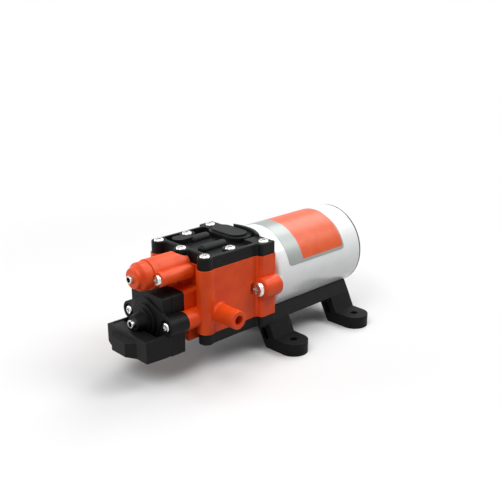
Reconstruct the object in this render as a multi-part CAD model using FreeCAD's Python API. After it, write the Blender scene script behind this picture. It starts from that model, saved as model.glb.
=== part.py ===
import FreeCAD, Part
import math
import os

# Diaphragm water pump with two opposed chambers and a direct-current motor, in millimetres.
# +X runs from the pressure switch to the motor and +Z is up. The origin is the centre of the
# four foot holes, on the surface that the feet stand on.

# Clearances
SLIP = 0.10            # screw shanks and loose seats
RUN = 0.05             # radial running fit of a shaft, stem or plunger
GAP = 0.30             # free space beside a moving piece

# Motor
CAN_BOTTOM_Z = 16.4    # lowest line of the can above the surface under the feet
CAN_R = 26.1
CAN_WALL = 2.0
CAN_FRONT_X = -31.9
CAN_REAR_X = 42.4
CAN_EDGE_R = 2.5
CAN_FRONT_HOLE_R = 9.0
CAP_RIM = 1.6
CAP_SPIGOT = 6.4
CAP_WALL = 2.0
CAP_RECESS = 1.0
CAP_RECESS_INNER_R = 9.0
CAP_RECESS_EDGE = 5.1  # from the skin of the can in to the recess
FRONT_PLATE_R = 23.5
FRONT_PLATE_HALF_HEIGHT = 17.4
FRONT_BOSS_R = 8.8
FRONT_BOSS_LENGTH = 3.8
SHAFT_R = 2.0
SHAFT_FRONT_X = -58.6
SHAFT_REAR_X = 41.0
BUSH_R = 5.0
BUSH_LENGTH = 6.0
MAGNET_HALF_LENGTH = 20.0
MAGNET_T = 5.5
MAGNET_HALF_ANGLE = 62.0
AIR_GAP = 0.75         # between magnets and armature
ARMATURE_HALF_LENGTH = 16.0
ARMATURE_POLES = 5
SLOT_R = 3.6
SLOT_CENTRE_DEPTH = 6.6
SLOT_MOUTH = 2.2
WINDING_END = 6.0
WINDING_INNER_R = 5.0
WINDING_STEP = 1.8
COMMUTATOR_R = 6.0
COMMUTATOR_FRONT_X = 25.0
COMMUTATOR_LENGTH = 10.0
BRUSH_WIDTH = 5.8
BRUSH_HEIGHT = 6.0
BRUSH_LENGTH = 7.0
BRUSH_TRAVEL = 4.0
GUIDE_WALL = 1.5
GUIDE_GAP = 0.4        # between a brush guide and the rim of the cap
GROMMET_DROP = 16.0
GROMMET_R = 3.0
GROMMET_LIP = 1.2
GROMMET_BOSS_R = 5.6
LEAD_R = 0.9
LABEL_T = 0.18
LABEL_GLUE = 0.05
LABEL_FRONT_X = -21.8
LABEL_REAR_X = 27.5
LABEL_EDGE_RISE = 6.2  # lower edge of the label above the motor axis
LABEL_CORNER_R = 2.2

# Pump head: housing with an upper and a lower cover
HEAD_DROP = 24.8       # underside of the head below the motor axis
HEAD_HEIGHT = 50.7
HEAD_REAR_X = -35.7
HEAD_FRONT_X = -81.6
SIDE_HALF = 23.9
REAR_BLOCK_STEP = 3.6
REAR_BLOCK_X = -47.4
REAR_BLOCK_CORNER_R = 2.0
REAR_EDGE_R = 1.0
POST_R = 5.0
OUTLINE_BLEND_R = 1.5
TOP_COVER_T = 7.1
BOTTOM_COVER_T = 6.7
COVER_INSET = 0.35
COVER_POST_R = 4.3
COVER_EDGE_R = 0.8
FRONT_SCREW_X = -82.5
FRONT_SCREW_IN = 3.9   # cover screws in from the side walls
MID_SCREW_X = -62.9
MID_SCREW_IN = 5.2
REAR_SCREW_X = -41.2
REAR_SCREW_IN = 1.1
SCREW_BOSS_R = 4.5
SCREW_SINK_R = 3.5
TOP_SCREW_SINK = 1.2
BOTTOM_SCREW_SINK = 2.2
TOP_FLOOR_DROP = 3.5
BOTTOM_FLOOR_DROP = 2.8
COVER_RIM = 2.4
POCKET_REAR_X = -47.4
TOP_RAISE = 1.5
BOTTOM_RAISE = 0.4
BULGE_R = 25.3
BULGE_CENTRE_X = -57.5
BULGE_START_X = -38.5
BULGE_RIM = 1.9
BULGE_POCKET_HALF = 13.4
SPOKE_ANGLES = (-21.0, -35.0)
SPOKE_WIDTH = 1.3
SPOKE_HEIGHT = 1.9
PLATEAU_X = -42.2
PLATEAU_Y = 4.2
PLATEAU_HALF_LENGTH = 14.9
PLATEAU_R = 8.0
PLATEAU_STEP = 1.7
PLATEAU_NEAR_STEP = 3.2
PLATEAU_RING_DROP = 0.5
PLATEAU_RISE = 0.6
RIB_R = 2.9
RIB_RAISE = 0.6
RIB_END_R = 2.2
NEAR_RIB_Y = -4.6
NEAR_RIB_X = (-73.2, -53.6)
FAR_RIB_Y = 12.6
FAR_RIB_X = (-66.0, -51.5)
PAD_X = -70.0
PAD_Y = 14.6
PAD_HALF_LENGTH = 6.2
PAD_R = 4.2

# Drive and chambers
CHAMBER_X = -53.2
CHAMBER_R = 13.0
CHAMBER_DEPTH = 2.8
DIAPHRAGM_R = 15.5
DIAPHRAGM_T = 1.2
THROW = 1.2
PISTON_R = 8.5
PISTON_T = 1.0
PISTON_SCREW_R = 1.5
PISTON_SCREW_LENGTH = 8.0
PISTON_SCREW_HEAD_R = 2.6
YOKE_RING_R = 12.3
YOKE_WIDTH = 6.0
YOKE_NECK_R = 4.5
YOKE_FLANGE_R = 8.8
YOKE_FLANGE_T = 1.6
BEARING_R = 8.0
BEARING_BORE_R = 4.0
BEARING_WIDTH = 5.0
RING_T = 1.4
BALL_R = 1.1
BALL_COUNT = 8
ECCENTRIC_SHOULDER_R = 5.2
ECCENTRIC_SHOULDER = 1.4
COLLAR_R = 6.2
COLLAR_LENGTH = 5.6
SET_SCREW_R = 1.5
CAVITY_FRONT_X = -67.0
CAVITY_REAR_X = -39.6
CAVITY_HALF_WIDTH = 18.5
DECK_T = 4.0
COVER_DUCT_IN = 3.5
COVER_DUCT_HALF = 2.0
COVER_DUCT_DEPTH = 2.2

# Valves and galleries
PORT_X = -76.0
PORT_DROP = 7.1        # hose stubs below the motor axis
GALLERY_X = -74.6
GALLERY_Y = 10.0
GALLERY_R = 3.4
GALLERY_MOUTH_R = 4.2
GALLERY_MOUTH_DEPTH = 3.4
VALVE_PLATE_T = 1.6
VALVE_PLATE_HALF_X = 4.9
VALVE_PLATE_HALF_Y = 15.4
VALVE_R = 3.5
VALVE_T = 0.8
VALVE_STEM_R = 1.0
VALVE_LIFT = 0.8
VALVE_BEAD_R = 1.5
VALVE_BEAD_T = 0.6
VALVE_SEAT_HOLES = 5
VALVE_SEAT_HOLE_R = 0.7
VALVE_SEAT_PITCH_R = 2.3
STUB_R = 5.25
STUB_BORE_R = 2.8
STUB_BORE_DEPTH = 19.5
STUB_DUCT_R = 2.5
STUB_DUCT_OVERRUN = 0.4
STUB_LENGTH = 15.6
STUB_ROOT_R = 6.4
STUB_ROOT_LENGTH = 1.7
STUB_ROOT_SINK = 0.5
STUB_EDGE_R = 0.5

# Bypass valve on the front of the housing
BYPASS_RISE = 16.4     # above the motor axis
BARREL_R = 8.5
BARREL_FRONT_X = -102.8
BARREL_COVER_GAP = 1.2
EAR_Y = 9.6
EAR_R = 4.0
EAR_DROP = 0.7         # screw ears below the axis of the valve
EAR_REAR_X = -84.5
BYPASS_BORE_R = 4.4
BYPASS_BORE_REAR_X = -88.6
BYPASS_SEAT_R = 1.6
CAP_FLANGE_FRONT_X = -106.8
CAP_EAR_FRONT_X = -105.8
CAP_BODY_R = 7.95
CAP_BODY_FRONT_X = -112.4
CAP_NOSE_R = 5.8
CAP_NOSE_FRONT_X = -116.2
CAP_NECK = 1.7
ADJUSTER_R = 2.2
ADJUSTER_TIP_X = -118.4
ADJUSTER_TRAVEL = 2.5
SPRING_SEAT_R = 3.6
SPRING_SEAT_T = 1.2
SPRING_WIRE = 0.7
POPPET_R = 3.5
POPPET_LENGTH = 3.4
POPPET_TIP_R = 2.4
POPPET_TIP = 0.6
POPPET_LIFT = 1.5
SEAL_R = 6.4
SEAL_WIRE_R = 0.7

# Pressure switch
SWITCH_DROP = 8.9      # below the motor axis
SWITCH_FRONT_X = -107.1
SWITCH_SEAM_X = -101.0
SWITCH_REAR_X = -92.6
SWITCH_TOP_RISE = 6.4  # above the motor axis
SWITCH_HALF = 13.9
SWITCH_ROUND_R = 13.0
SWITCH_CORNER_R = 1.6
SEAM_GROOVE = 0.35      # width and depth
LUG_Y = 16.5
LUG_R = 5.4
LUG_FRONT_X = -107.6
LUG_REAR_X = -95.4
TRAY_FRONT_X = -121.9
TRAY_SEAM_X = -105.0
TRAY_REAR_X = -96.0
TRAY_NEAR_Y = -18.1
TRAY_FAR_Y = 17.2
TRAY_CHAMFER_Y = 3.7
TRAY_CHAMFER_Z = 2.8
TRAY_BOTTOM_DROP = 16.1    # heights of the lower switch, below the switch axis
TRAY_SEAM_DROP = 1.1
BODY_BOTTOM_DROP = 17.6
TRAY_TOP_DROP = 3.8
TRAY_WALL = 1.9
TRAY_FLOOR = 2.3
NOSE_FRONT_X = -125.2
NOSE_NEAR_Y = -3.1
NOSE_FAR_Y = 9.3
NOSE_NEAR_ROOT_Y = -9.3
NOSE_FAR_ROOT_Y = 13.7
NOSE_TOP_DROP = 7.0
NOSE_CREASE_DROP = 8.4
HUB_DISC_R = 12.0
HUB_DISC_FRONT_X = -108.3
HUB_STEPS = ((9.2, -109.8), (7.0, -111.2))
HUB_ROOT_R = 5.6
HUB_END_R = 4.3
HUB_END_X = -116.7
WEB_SLOPE_Y = (9.5, 14.5)
SWITCH_SCREW_TIP_X = -118.9
SWITCH_ADJUSTER_R = 2.3
SWITCH_ADJUSTER_TRAVEL = 2.4
HUB_BORE_R = 3.8
HUB_BORE_FRONT_X = -112.0
PLUNGER_FLANGE_R = 9.2
PLUNGER_FLANGE_T = 2.0
PLUNGER_FLANGE_X = -103.9
PLUNGER_STEM_R = 4.0
PLUNGER_FOOT_R = 6.5
PLUNGER_FOOT_T = 1.7
PLUNGER_TRAVEL = 0.8
PIN_R = 1.0
PIN_DROP = 7.8
SWITCH_DIAPHRAGM_R = 11.0
SWITCH_DIAPHRAGM_T = 1.2
PRESSURE_CHAMBER_R = 8.0
PRESSURE_CHAMBER = 2.0
MICRO_DEPTH = 6.8
MICRO_SINK = 0.3       # below the rim of the tray
BUTTON_HALF = 1.2
BUTTON_PROUD = 0.5
BUTTON_LENGTH = 1.6
PAD_BOTTOM_DROP = 14.6
PAD_FRONT_X = -90.0
PAD_HALF = 13.6

# Screws
COVER_SCREW_R = 1.6
COVER_SCREW_HEAD_R = 3.05
COVER_SCREW_HEAD = 2.0
COVER_SCREW_LENGTH = 12.0
CAP_SCREW_LENGTH = 12.0
LUG_SCREW_HEAD_R = 2.6
LUG_SCREW_HEAD = 1.6
LUG_SINK_R = 3.9
LUG_SINK = 1.0
LUG_SCREW_LENGTH = 15.0
MOTOR_SCREW_IN = 0.2   # in from the side of the rear block
MOTOR_SCREW_R = 2.1
MOTOR_SCREW_HEAD_R = 4.5
MOTOR_SCREW_HEAD = 2.6
MOTOR_SCREW_SEAT_X = -48.6
MOTOR_BOSS_R = 6.3
MOTOR_BOSS_REAR_X = -35.2
MOTOR_BOSS_EDGE_R = 1.1
MOTOR_EAR_R = 4.2
MOTOR_EAR_REAR_X = -33.4
RECESS_WIDTH = 0.9
RECESS_DEPTH = 0.9

# Saddle base and feet
BASE_FRONT_X = -35.4
BASE_REAR_X = 36.7
BASE_WALL = 0.7
BASE_TOP_ANGLE = 45.45  # from the lowest line of the can up to the edge of the saddle
BASE_EDGE_IN = 3.2
BASE_EDGE_Z = 16.5
BASE_KEEL_HALF = 11.2
BASE_KEEL_Z = 14.4
BASE_SCREW_X = (-12.0, 14.0)
BASE_SCREW_R = 1.9
BASE_SCREW_HEAD_R = 3.4
BASE_SCREW_HEAD = 1.9
FOOT_X = 28.05
FOOT_Y = 35.1
FOOT_R = 8.64
FOOT_FLANGE_T = 7.5
FOOT_HOLE_R = 2.2
FOOT_LEG_INNER_TOP_Y = 11.6
FOOT_LEG_OUTER_Y = 27.4
FOOT_SOLE_Y = 20.8
TUNNEL_R = 1.9
TUNNEL_UPPER = (19.2, 10.2)
TUNNEL_LOWER = (20.9, 7.0)
RAIL_HALF_LENGTH = 7.0
RAIL_WEB_Y = (16.4, 18.2)
RAIL_LIP_Y = (15.2, 19.4)
RAIL_LIP_Z = (12.9, 14.1)

# Derived from the sizes above
AXIS_Z = CAN_BOTTOM_Z + CAN_R
ARMATURE_R = CAN_R - CAN_WALL - RUN - MAGNET_T - AIR_GAP
SLOT_CENTRE_R = ARMATURE_R - SLOT_CENTRE_DEPTH
WINDING_OUTER_R = ARMATURE_R - WINDING_STEP
GUIDE_OUTER_Y = CAN_R - CAN_WALL - SLIP - CAP_WALL - GUIDE_GAP
LABEL_EDGE_Z = AXIS_Z + LABEL_EDGE_RISE
HEAD_BOTTOM_Z = AXIS_Z - HEAD_DROP
HEAD_TOP_Z = HEAD_BOTTOM_Z + HEAD_HEIGHT
TOP_FACE_Z = HEAD_TOP_Z - TOP_COVER_T
BOTTOM_FACE_Z = HEAD_BOTTOM_Z + BOTTOM_COVER_T
TOP_SEAT_Z = HEAD_TOP_Z - TOP_SCREW_SINK
BOTTOM_SEAT_Z = HEAD_BOTTOM_Z + BOTTOM_SCREW_SINK
REAR_BLOCK_HALF = SIDE_HALF + REAR_BLOCK_STEP
MOTOR_SCREW_Y = REAR_BLOCK_HALF - MOTOR_SCREW_IN
FRONT_SCREW_Y = SIDE_HALF - FRONT_SCREW_IN
MID_SCREW_Y = SIDE_HALF - MID_SCREW_IN
REAR_SCREW_Y = SIDE_HALF - REAR_SCREW_IN
PORT_Z = AXIS_Z - PORT_DROP
STUB_END_Y = SIDE_HALF + STUB_LENGTH
BYPASS_Z = AXIS_Z + BYPASS_RISE
EAR_Z = BYPASS_Z - EAR_DROP
SWITCH_Z = AXIS_Z - SWITCH_DROP
SWITCH_TOP_Z = AXIS_Z + SWITCH_TOP_RISE
TRAY_BOTTOM_Z = SWITCH_Z - TRAY_BOTTOM_DROP
BODY_BOTTOM_Z = SWITCH_Z - BODY_BOTTOM_DROP
TRAY_TOP_Z = SWITCH_Z - TRAY_TOP_DROP
NOSE_TOP_Z = SWITCH_Z - NOSE_TOP_DROP
NOSE_CREASE_Z = SWITCH_Z - NOSE_CREASE_DROP
PAD_BOTTOM_Z = SWITCH_Z - PAD_BOTTOM_DROP
BASE_TOP_Y = (CAN_R + BASE_WALL) * math.sin(math.radians(BASE_TOP_ANGLE))
BASE_TOP_Z = AXIS_Z - (CAN_R + BASE_WALL) * math.cos(math.radians(BASE_TOP_ANGLE))
BASE_EDGE_Y = CAN_R - BASE_EDGE_IN
SCREW_PLACES = [(FRONT_SCREW_X, -FRONT_SCREW_Y), (FRONT_SCREW_X, 0.0), (FRONT_SCREW_X, FRONT_SCREW_Y),
                (MID_SCREW_X, -MID_SCREW_Y), (MID_SCREW_X, MID_SCREW_Y),
                (REAR_SCREW_X, -REAR_SCREW_Y), (REAR_SCREW_X, REAR_SCREW_Y)]
V = FreeCAD.Vector
SIDES = (-1, 1)
EPS = 1.0              # overshoot of a cutting tool past the face it opens
PROBE = 0.3            # distance at which an outline is sampled around an edge
PROBES = 24


def rod_x(r, x0, x1, y=0.0, z=AXIS_Z):
    return Part.makeCylinder(r, x1 - x0, V(x0, y, z), V(1, 0, 0))


def rod_y(r, y0, y1, x, z):
    return Part.makeCylinder(r, y1 - y0, V(x, y0, z), V(0, 1, 0))


def rod_z(r, z0, z1, x, y):
    return Part.makeCylinder(r, z1 - z0, V(x, y, z0), V(0, 0, 1))


def block(x0, x1, y0, y1, z0, z1):
    return Part.makeBox(x1 - x0, y1 - y0, z1 - z0, V(x0, y0, z0))


def joined(*shapes):
    return shapes[0].multiFuse(list(shapes[1:])).removeSplitter()


def without(shape, *tools):
    return shape.cut(list(tools)) if len(tools) > 1 else shape.cut(tools[0])


def rounded_wire(points, radius):
    """Closed wire through points, each corner rounded; radius is one value or one per corner."""
    radii = [radius] * len(points) if isinstance(radius, (int, float)) else list(radius)
    edges = []
    stops = []
    for i, p in enumerate(points):
        before = (points[i - 1] - p).normalize()
        after = (points[(i + 1) % len(points)] - p).normalize()
        half = math.acos(max(-1.0, min(1.0, before.dot(after)))) / 2
        if radii[i] <= 0:
            stops.append((p, None, p))
            continue
        reach = radii[i] / math.tan(half)
        middle = (before + after).normalize() * (radii[i] / math.sin(half) - radii[i])
        stops.append((p + before * reach, p + middle, p + after * reach))
    for i, (start, middle, end) in enumerate(stops):
        if middle is not None:
            edges.append(Part.Arc(start, middle, end).toShape())
        nxt = stops[(i + 1) % len(stops)][0]
        if end.distanceToPoint(nxt) > 1e-6:
            edges.append(Part.LineSegment(end, nxt).toShape())
    return Part.Wire(edges)


def prism_z(points, z0, z1, radius=0.0):
    wire = rounded_wire([V(x, y, z0) for x, y in points], radius)
    return Part.Face(wire).extrude(V(0, 0, z1 - z0))


def prism_x(points, x0, x1, radius=0.0):
    wire = rounded_wire([V(x0, y, z) for y, z in points], radius)
    return Part.Face(wire).extrude(V(x1 - x0, 0, 0))


def prism_y(points, y0, y1, radius=0.0):
    wire = rounded_wire([V(x, y0, z) for x, z in points], radius)
    return Part.Face(wire).extrude(V(0, y1 - y0, 0))


def turned_x(points, y=0.0, z=AXIS_Z, radius=0.0):
    """Solid of revolution about an axis along X; points are (x, r)."""
    wire = rounded_wire([V(x, y, z + r) for x, r in points], radius)
    return Part.Face(wire).revolve(V(0, y, z), V(1, 0, 0), 360)


def stadium_z(x, y, half_length, r, z0, z1, along_y=True):
    """Upright stadium prism; half_length is from its centre to the centre of each round end."""
    dx, dy = (0.0, half_length) if along_y else (half_length, 0.0)
    waist = block(x - (r if along_y else dx), x + (r if along_y else dx),
                  y - (dy if along_y else r), y + (dy if along_y else r), z0, z1)
    return joined(waist, rod_z(r, z0, z1, x - dx, y - dy), rod_z(r, z0, z1, x + dx, y + dy))


def mirrored_y(shape):
    return shape.mirror(V(0, 0, 0), V(0, 1, 0))


def mirrored_z(shape):
    """Mirror through the plane of the motor axis."""
    return shape.mirror(V(0, 0, AXIS_Z), V(0, 0, 1))


def cross_recess(x, y, z, direction, reach):
    """Tool for a cross recess sunk into a head whose outer face is at the point given."""
    depth = RECESS_DEPTH + EPS
    if direction == "z":
        return joined(block(x - reach, x + reach, y - RECESS_WIDTH / 2, y + RECESS_WIDTH / 2, z, z + depth),
                      block(x - RECESS_WIDTH / 2, x + RECESS_WIDTH / 2, y - reach, y + reach, z, z + depth))
    return joined(block(x - depth, x, y - reach, y + reach, z - RECESS_WIDTH / 2, z + RECESS_WIDTH / 2),
                  block(x - depth, x, y - RECESS_WIDTH / 2, y + RECESS_WIDTH / 2, z - reach, z + reach))


def pan_screw_down(x, y, seat_z, head_r, head_h, shank_r, length):
    """Pan-head screw that points down, its head resting on seat_z."""
    points = [V(x, y, seat_z), V(x + head_r, y, seat_z),
              V(x + head_r, y, seat_z + head_h), V(x, y, seat_z + head_h)]
    face = Part.Face(rounded_wire(points, [0, 0, head_h * 0.62, 0]))
    head = face.revolve(V(x, y, 0), V(0, 0, 1), 360)
    head = without(head, cross_recess(x, y, seat_z + head_h - RECESS_DEPTH, "z", head_r * 0.55))
    return joined(head, rod_z(shank_r, seat_z - length, seat_z, x, y))


def pan_screw_up(x, y, seat_z, head_r, head_h, shank_r, length):
    """Pan-head screw that points up, its head below seat_z."""
    return pan_screw_down(x, y, -seat_z, head_r, head_h, shank_r, length).mirror(V(0, 0, 0), V(0, 0, 1))


def pan_screw_back(seat_x, y, z, head_r, head_h, shank_r, length):
    """Pan-head screw that points along +X, its head resting on seat_x."""
    points = [(seat_x, 0.0), (seat_x, head_r), (seat_x - head_h, head_r), (seat_x - head_h, 0.0)]
    head = turned_x(points, y, z, [0, 0, head_h * 0.62, 0])
    head = without(head, cross_recess(seat_x - head_h + RECESS_DEPTH, y, z, "x", head_r * 0.55))
    return joined(head, rod_x(shank_r, seat_x, seat_x + length, y, z))


def set_screw(r, tip_x, end_x, z):
    """Grub screw along X with a hexagon socket in its outer end."""
    socket_r = r * 0.7
    corners = [(socket_r * math.sin(math.radians(60 * i)), z + socket_r * math.cos(math.radians(60 * i)))
               for i in range(6)]
    return without(rod_x(r, tip_x, end_x, 0.0, z), prism_x(corners, tip_x - EPS, tip_x + r))


def ring_x(outer, inner, x0, x1, y=0.0, z=AXIS_Z):
    return without(rod_x(outer, x0, x1, y, z), rod_x(inner, x0 - EPS, x1 + EPS, y, z))


def save(name, shape):
    solids = shape.Solids
    result = solids[0] if len(solids) == 1 else Part.makeCompound(solids)
    if not result.isValid():
        raise ValueError(name + " is not a valid solid")
    result.exportStep("parts/" + name + ".step")
    box = result.BoundBox
    print("%-22s %2d solids %10.1f mm3  x %.1f..%.1f  y %.1f..%.1f  z %.1f..%.1f" % (
        name, len(solids), result.Volume, box.XMin, box.XMax, box.YMin, box.YMax, box.ZMin, box.ZMax))


def hollow_uprights(shape):
    """Upright edges of a prism where its outline turns inwards."""
    found = []
    turns = [2 * math.pi * i / PROBES for i in range(PROBES)]
    for edge in shape.Edges:
        ends = [vertex.Point for vertex in edge.Vertexes]
        if len(ends) < 2 or math.hypot(ends[1].x - ends[0].x, ends[1].y - ends[0].y) > 1e-6:
            continue
        middle = (ends[0] + ends[1]) * 0.5
        inside = sum(shape.isInside(middle + V(PROBE * math.cos(t), PROBE * math.sin(t), 0), 1e-6, False)
                     for t in turns)
        if inside > PROBES / 2 + 1:
            found.append(edge)
    return found


def head_outline(z0, z1, grow=0.0, post_r=POST_R):
    """Plan of the pump head: box, wider rear block and three front screw posts, blended together."""
    core = block(HEAD_FRONT_X - grow, HEAD_REAR_X + grow, -SIDE_HALF - grow, SIDE_HALF + grow, z0, z1)
    corners = [(REAR_BLOCK_X - grow, -REAR_BLOCK_HALF - grow), (HEAD_REAR_X + grow, -REAR_BLOCK_HALF - grow),
               (HEAD_REAR_X + grow, REAR_BLOCK_HALF + grow), (REAR_BLOCK_X - grow, REAR_BLOCK_HALF + grow)]
    front_r = REAR_BLOCK_CORNER_R + grow
    rear = prism_z(corners, z0, z1, [front_r, REAR_EDGE_R, REAR_EDGE_R, front_r])
    posts = [rod_z(post_r + grow, z0, z1, x, y) for x, y in SCREW_PLACES[:3]]
    solid = joined(core, rear, *posts)
    return solid.makeFillet(OUTLINE_BLEND_R - grow, hollow_uprights(solid))


def cover_outline(z0, z1, grow=0.0):
    """The same plan for a cover, which stands back a little from the housing all round."""
    return head_outline(z0, z1, grow - COVER_INSET, COVER_POST_R + COVER_INSET)


def switch_outline(x0, x1, grow=0.0):
    """Section of the switch, seen along X: square top, round chamber and two lugs left out."""
    half = SWITCH_HALF + grow
    z0, z1 = SWITCH_Z - SWITCH_HALF / 2, SWITCH_TOP_Z + grow
    top = prism_x([(-half, z0), (half, z0), (half, z1), (-half, z1)], x0, x1,
                  [0, 0, SWITCH_CORNER_R, SWITCH_CORNER_R])
    return joined(top, rod_x(SWITCH_ROUND_R + grow, x0, x1, 0.0, SWITCH_Z))


def lugs(x0, x1, r=LUG_R):
    """Screw lugs on both sides of the switch, with a web that ties each to the body."""
    shapes = []
    for side in SIDES:
        shapes.append(rod_x(r, x0, x1, side * LUG_Y, SWITCH_Z))
        y0, y1 = sorted((0.0, side * LUG_Y))
        shapes.append(block(x0, x1, y0, y1, SWITCH_Z - r + 1.0, SWITCH_Z + r - 1.0))
    return shapes


os.makedirs("parts", exist_ok=True)


# Pump housing: one orange moulding that carries everything on the head
def pump_housing():
    boss_rods = []
    for side in SIDES:
        boss = rod_x(MOTOR_BOSS_R, MOTOR_SCREW_SEAT_X, MOTOR_BOSS_REAR_X, side * MOTOR_SCREW_Y)
        boss_rods.append(boss.makeFillet(MOTOR_BOSS_EDGE_R, round_edges(boss)))
    barrel = joined(rod_x(BARREL_R, BARREL_FRONT_X, HEAD_FRONT_X + POST_R, 0.0, BYPASS_Z),
                    *[rod_x(EAR_R, BARREL_FRONT_X, EAR_REAR_X, side * EAR_Y, EAR_Z) for side in SIDES])
    barrel = without(barrel, cover_outline(TOP_FACE_Z, HEAD_TOP_Z + POST_R, BARREL_COVER_GAP))
    switch_pad = joined(switch_outline(SWITCH_REAR_X, HEAD_FRONT_X + EPS),
                        *lugs(LUG_REAR_X, HEAD_FRONT_X + EPS))
    body_room = block(LUG_REAR_X - EPS, SWITCH_REAR_X, -SWITCH_HALF, SWITCH_HALF, HEAD_BOTTOM_Z, SWITCH_TOP_Z)
    switch_pad = without(switch_pad, body_room, cover_outline(HEAD_BOTTOM_Z, BOTTOM_FACE_Z, SLIP))
    lower_pad = block(PAD_FRONT_X, HEAD_FRONT_X + EPS, -PAD_HALF, PAD_HALF, PAD_BOTTOM_Z, SWITCH_Z)
    lower_pad = without(lower_pad, cover_outline(HEAD_BOTTOM_Z, BOTTOM_FACE_Z, SLIP))
    stubs = []
    for side in SIDES:
        y0, y1 = sorted((side * (SIDE_HALF - EPS), side * STUB_END_Y))
        pipe = rod_y(STUB_R, y0, y1, PORT_X, PORT_Z)
        stubs.append(pipe.makeFillet(STUB_EDGE_R, round_edges(pipe)))
        stubs.append(Part.makeCone(STUB_ROOT_R, STUB_R, STUB_ROOT_SINK + STUB_ROOT_LENGTH,
                                   V(PORT_X, side * (SIDE_HALF - STUB_ROOT_SINK), PORT_Z), V(0, side, 0)))
    head = head_outline(BOTTOM_FACE_Z, TOP_FACE_Z)
    solid = joined(head, barrel, switch_pad, lower_pad, *(boss_rods + stubs))

    tools = [block(CAVITY_FRONT_X, CAVITY_REAR_X, -CAVITY_HALF_WIDTH, CAVITY_HALF_WIDTH,
                   BOTTOM_FACE_Z + DECK_T, TOP_FACE_Z - DECK_T),
             rod_z(CHAMBER_R, BOTTOM_FACE_Z - EPS, TOP_FACE_Z + EPS, CHAMBER_X, 0.0),
             rod_z(DIAPHRAGM_R + SLIP, TOP_FACE_Z - DIAPHRAGM_T, TOP_FACE_Z + EPS, CHAMBER_X, 0.0),
             rod_z(DIAPHRAGM_R + SLIP, BOTTOM_FACE_Z - EPS, BOTTOM_FACE_Z + DIAPHRAGM_T, CHAMBER_X, 0.0),
             rod_x(FRONT_BOSS_R + SLIP, CAVITY_REAR_X - EPS, HEAD_REAR_X + EPS)]
    tools.append(valve_plate_blank(TOP_FACE_Z - VALVE_PLATE_T, TOP_FACE_Z + EPS, SLIP))
    tools.append(valve_plate_blank(BOTTOM_FACE_Z - EPS, BOTTOM_FACE_Z + VALVE_PLATE_T, SLIP))
    for side in SIDES:
        y = side * GALLERY_Y
        tools.append(rod_z(GALLERY_R, BOTTOM_FACE_Z - EPS, TOP_FACE_Z + EPS, GALLERY_X, y))
        reach = VALVE_PLATE_T + GALLERY_MOUTH_DEPTH
        tools.append(rod_z(GALLERY_MOUTH_R, TOP_FACE_Z - reach, TOP_FACE_Z, GALLERY_X, y))
        tools.append(rod_z(GALLERY_MOUTH_R, BOTTOM_FACE_Z, BOTTOM_FACE_Z + reach, GALLERY_X, y))
        bore_root = STUB_END_Y - STUB_BORE_DEPTH
        duct_end = GALLERY_Y - GALLERY_R - STUB_DUCT_OVERRUN
        low, high = sorted((side * bore_root, side * (STUB_END_Y + EPS)))
        tools.append(rod_y(STUB_BORE_R, low, high, PORT_X, PORT_Z))
        low, high = sorted((side * duct_end, side * (bore_root + EPS)))
        tools.append(rod_y(STUB_DUCT_R, low, high, PORT_X, PORT_Z))
        tools.append(rod_x(MOTOR_SCREW_R + SLIP, MOTOR_SCREW_SEAT_X - EPS, MOTOR_BOSS_REAR_X + EPS,
                           side * MOTOR_SCREW_Y))
        tools.append(rod_x(MOTOR_SCREW_HEAD_R + 2 * SLIP, MOTOR_SCREW_SEAT_X - MOTOR_SCREW_HEAD - EPS,
                           MOTOR_SCREW_SEAT_X, side * MOTOR_SCREW_Y))
        tools.append(rod_x(COVER_SCREW_R + SLIP, BARREL_FRONT_X - EPS, BARREL_FRONT_X + CAP_SCREW_LENGTH,
                           side * EAR_Y, EAR_Z))
        tools.append(rod_x(COVER_SCREW_R + SLIP, LUG_REAR_X - EPS, LUG_REAR_X + LUG_SCREW_LENGTH,
                           side * LUG_Y, SWITCH_Z))
    for x, y in SCREW_PLACES:
        deep = COVER_SCREW_LENGTH + SLIP
        tools.append(rod_z(COVER_SCREW_R + SLIP, TOP_SEAT_Z - deep, TOP_FACE_Z + EPS, x, y))
        tools.append(rod_z(COVER_SCREW_R + SLIP, BOTTOM_FACE_Z - EPS, BOTTOM_SEAT_Z + deep, x, y))
    tools.append(rod_x(BYPASS_BORE_R, BARREL_FRONT_X - EPS, BYPASS_BORE_REAR_X, 0.0, BYPASS_Z))
    tools.append(seal_groove())
    tools.append(rod_x(PRESSURE_CHAMBER_R, SWITCH_REAR_X - EPS, SWITCH_REAR_X + PRESSURE_CHAMBER,
                       0.0, SWITCH_Z))
    channel_z = BYPASS_Z - BYPASS_SEAT_R
    tools.append(channel(V(BYPASS_BORE_REAR_X - EPS, 0.0, BYPASS_Z),
                         V(GALLERY_X, -GALLERY_Y, channel_z), BYPASS_SEAT_R))
    tools.append(channel(V(BYPASS_BORE_REAR_X - POPPET_LENGTH, BYPASS_BORE_R - EPS, channel_z),
                         V(GALLERY_X, GALLERY_Y, channel_z), BYPASS_SEAT_R))
    tools.append(channel(V(SWITCH_REAR_X + EPS, -PRESSURE_CHAMBER_R / 2, SWITCH_Z),
                         V(GALLERY_X, -GALLERY_Y, SWITCH_Z), BYPASS_SEAT_R))
    return without(solid, *tools)


def round_edges(shape):
    """Closed round edges of a rod, which are the rims of its two ends."""
    return [edge for edge in shape.Edges if isinstance(edge.Curve, Part.Circle) and len(edge.Vertexes) == 1]


def channel(start, end, r):
    run = end - start
    return Part.makeCylinder(r, run.Length, start, run)


def seal_groove():
    return ring_x(SEAL_R + SEAL_WIRE_R, SEAL_R - SEAL_WIRE_R, BARREL_FRONT_X - EPS,
                  BARREL_FRONT_X + 2 * SEAL_WIRE_R, 0.0, BYPASS_Z)


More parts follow.
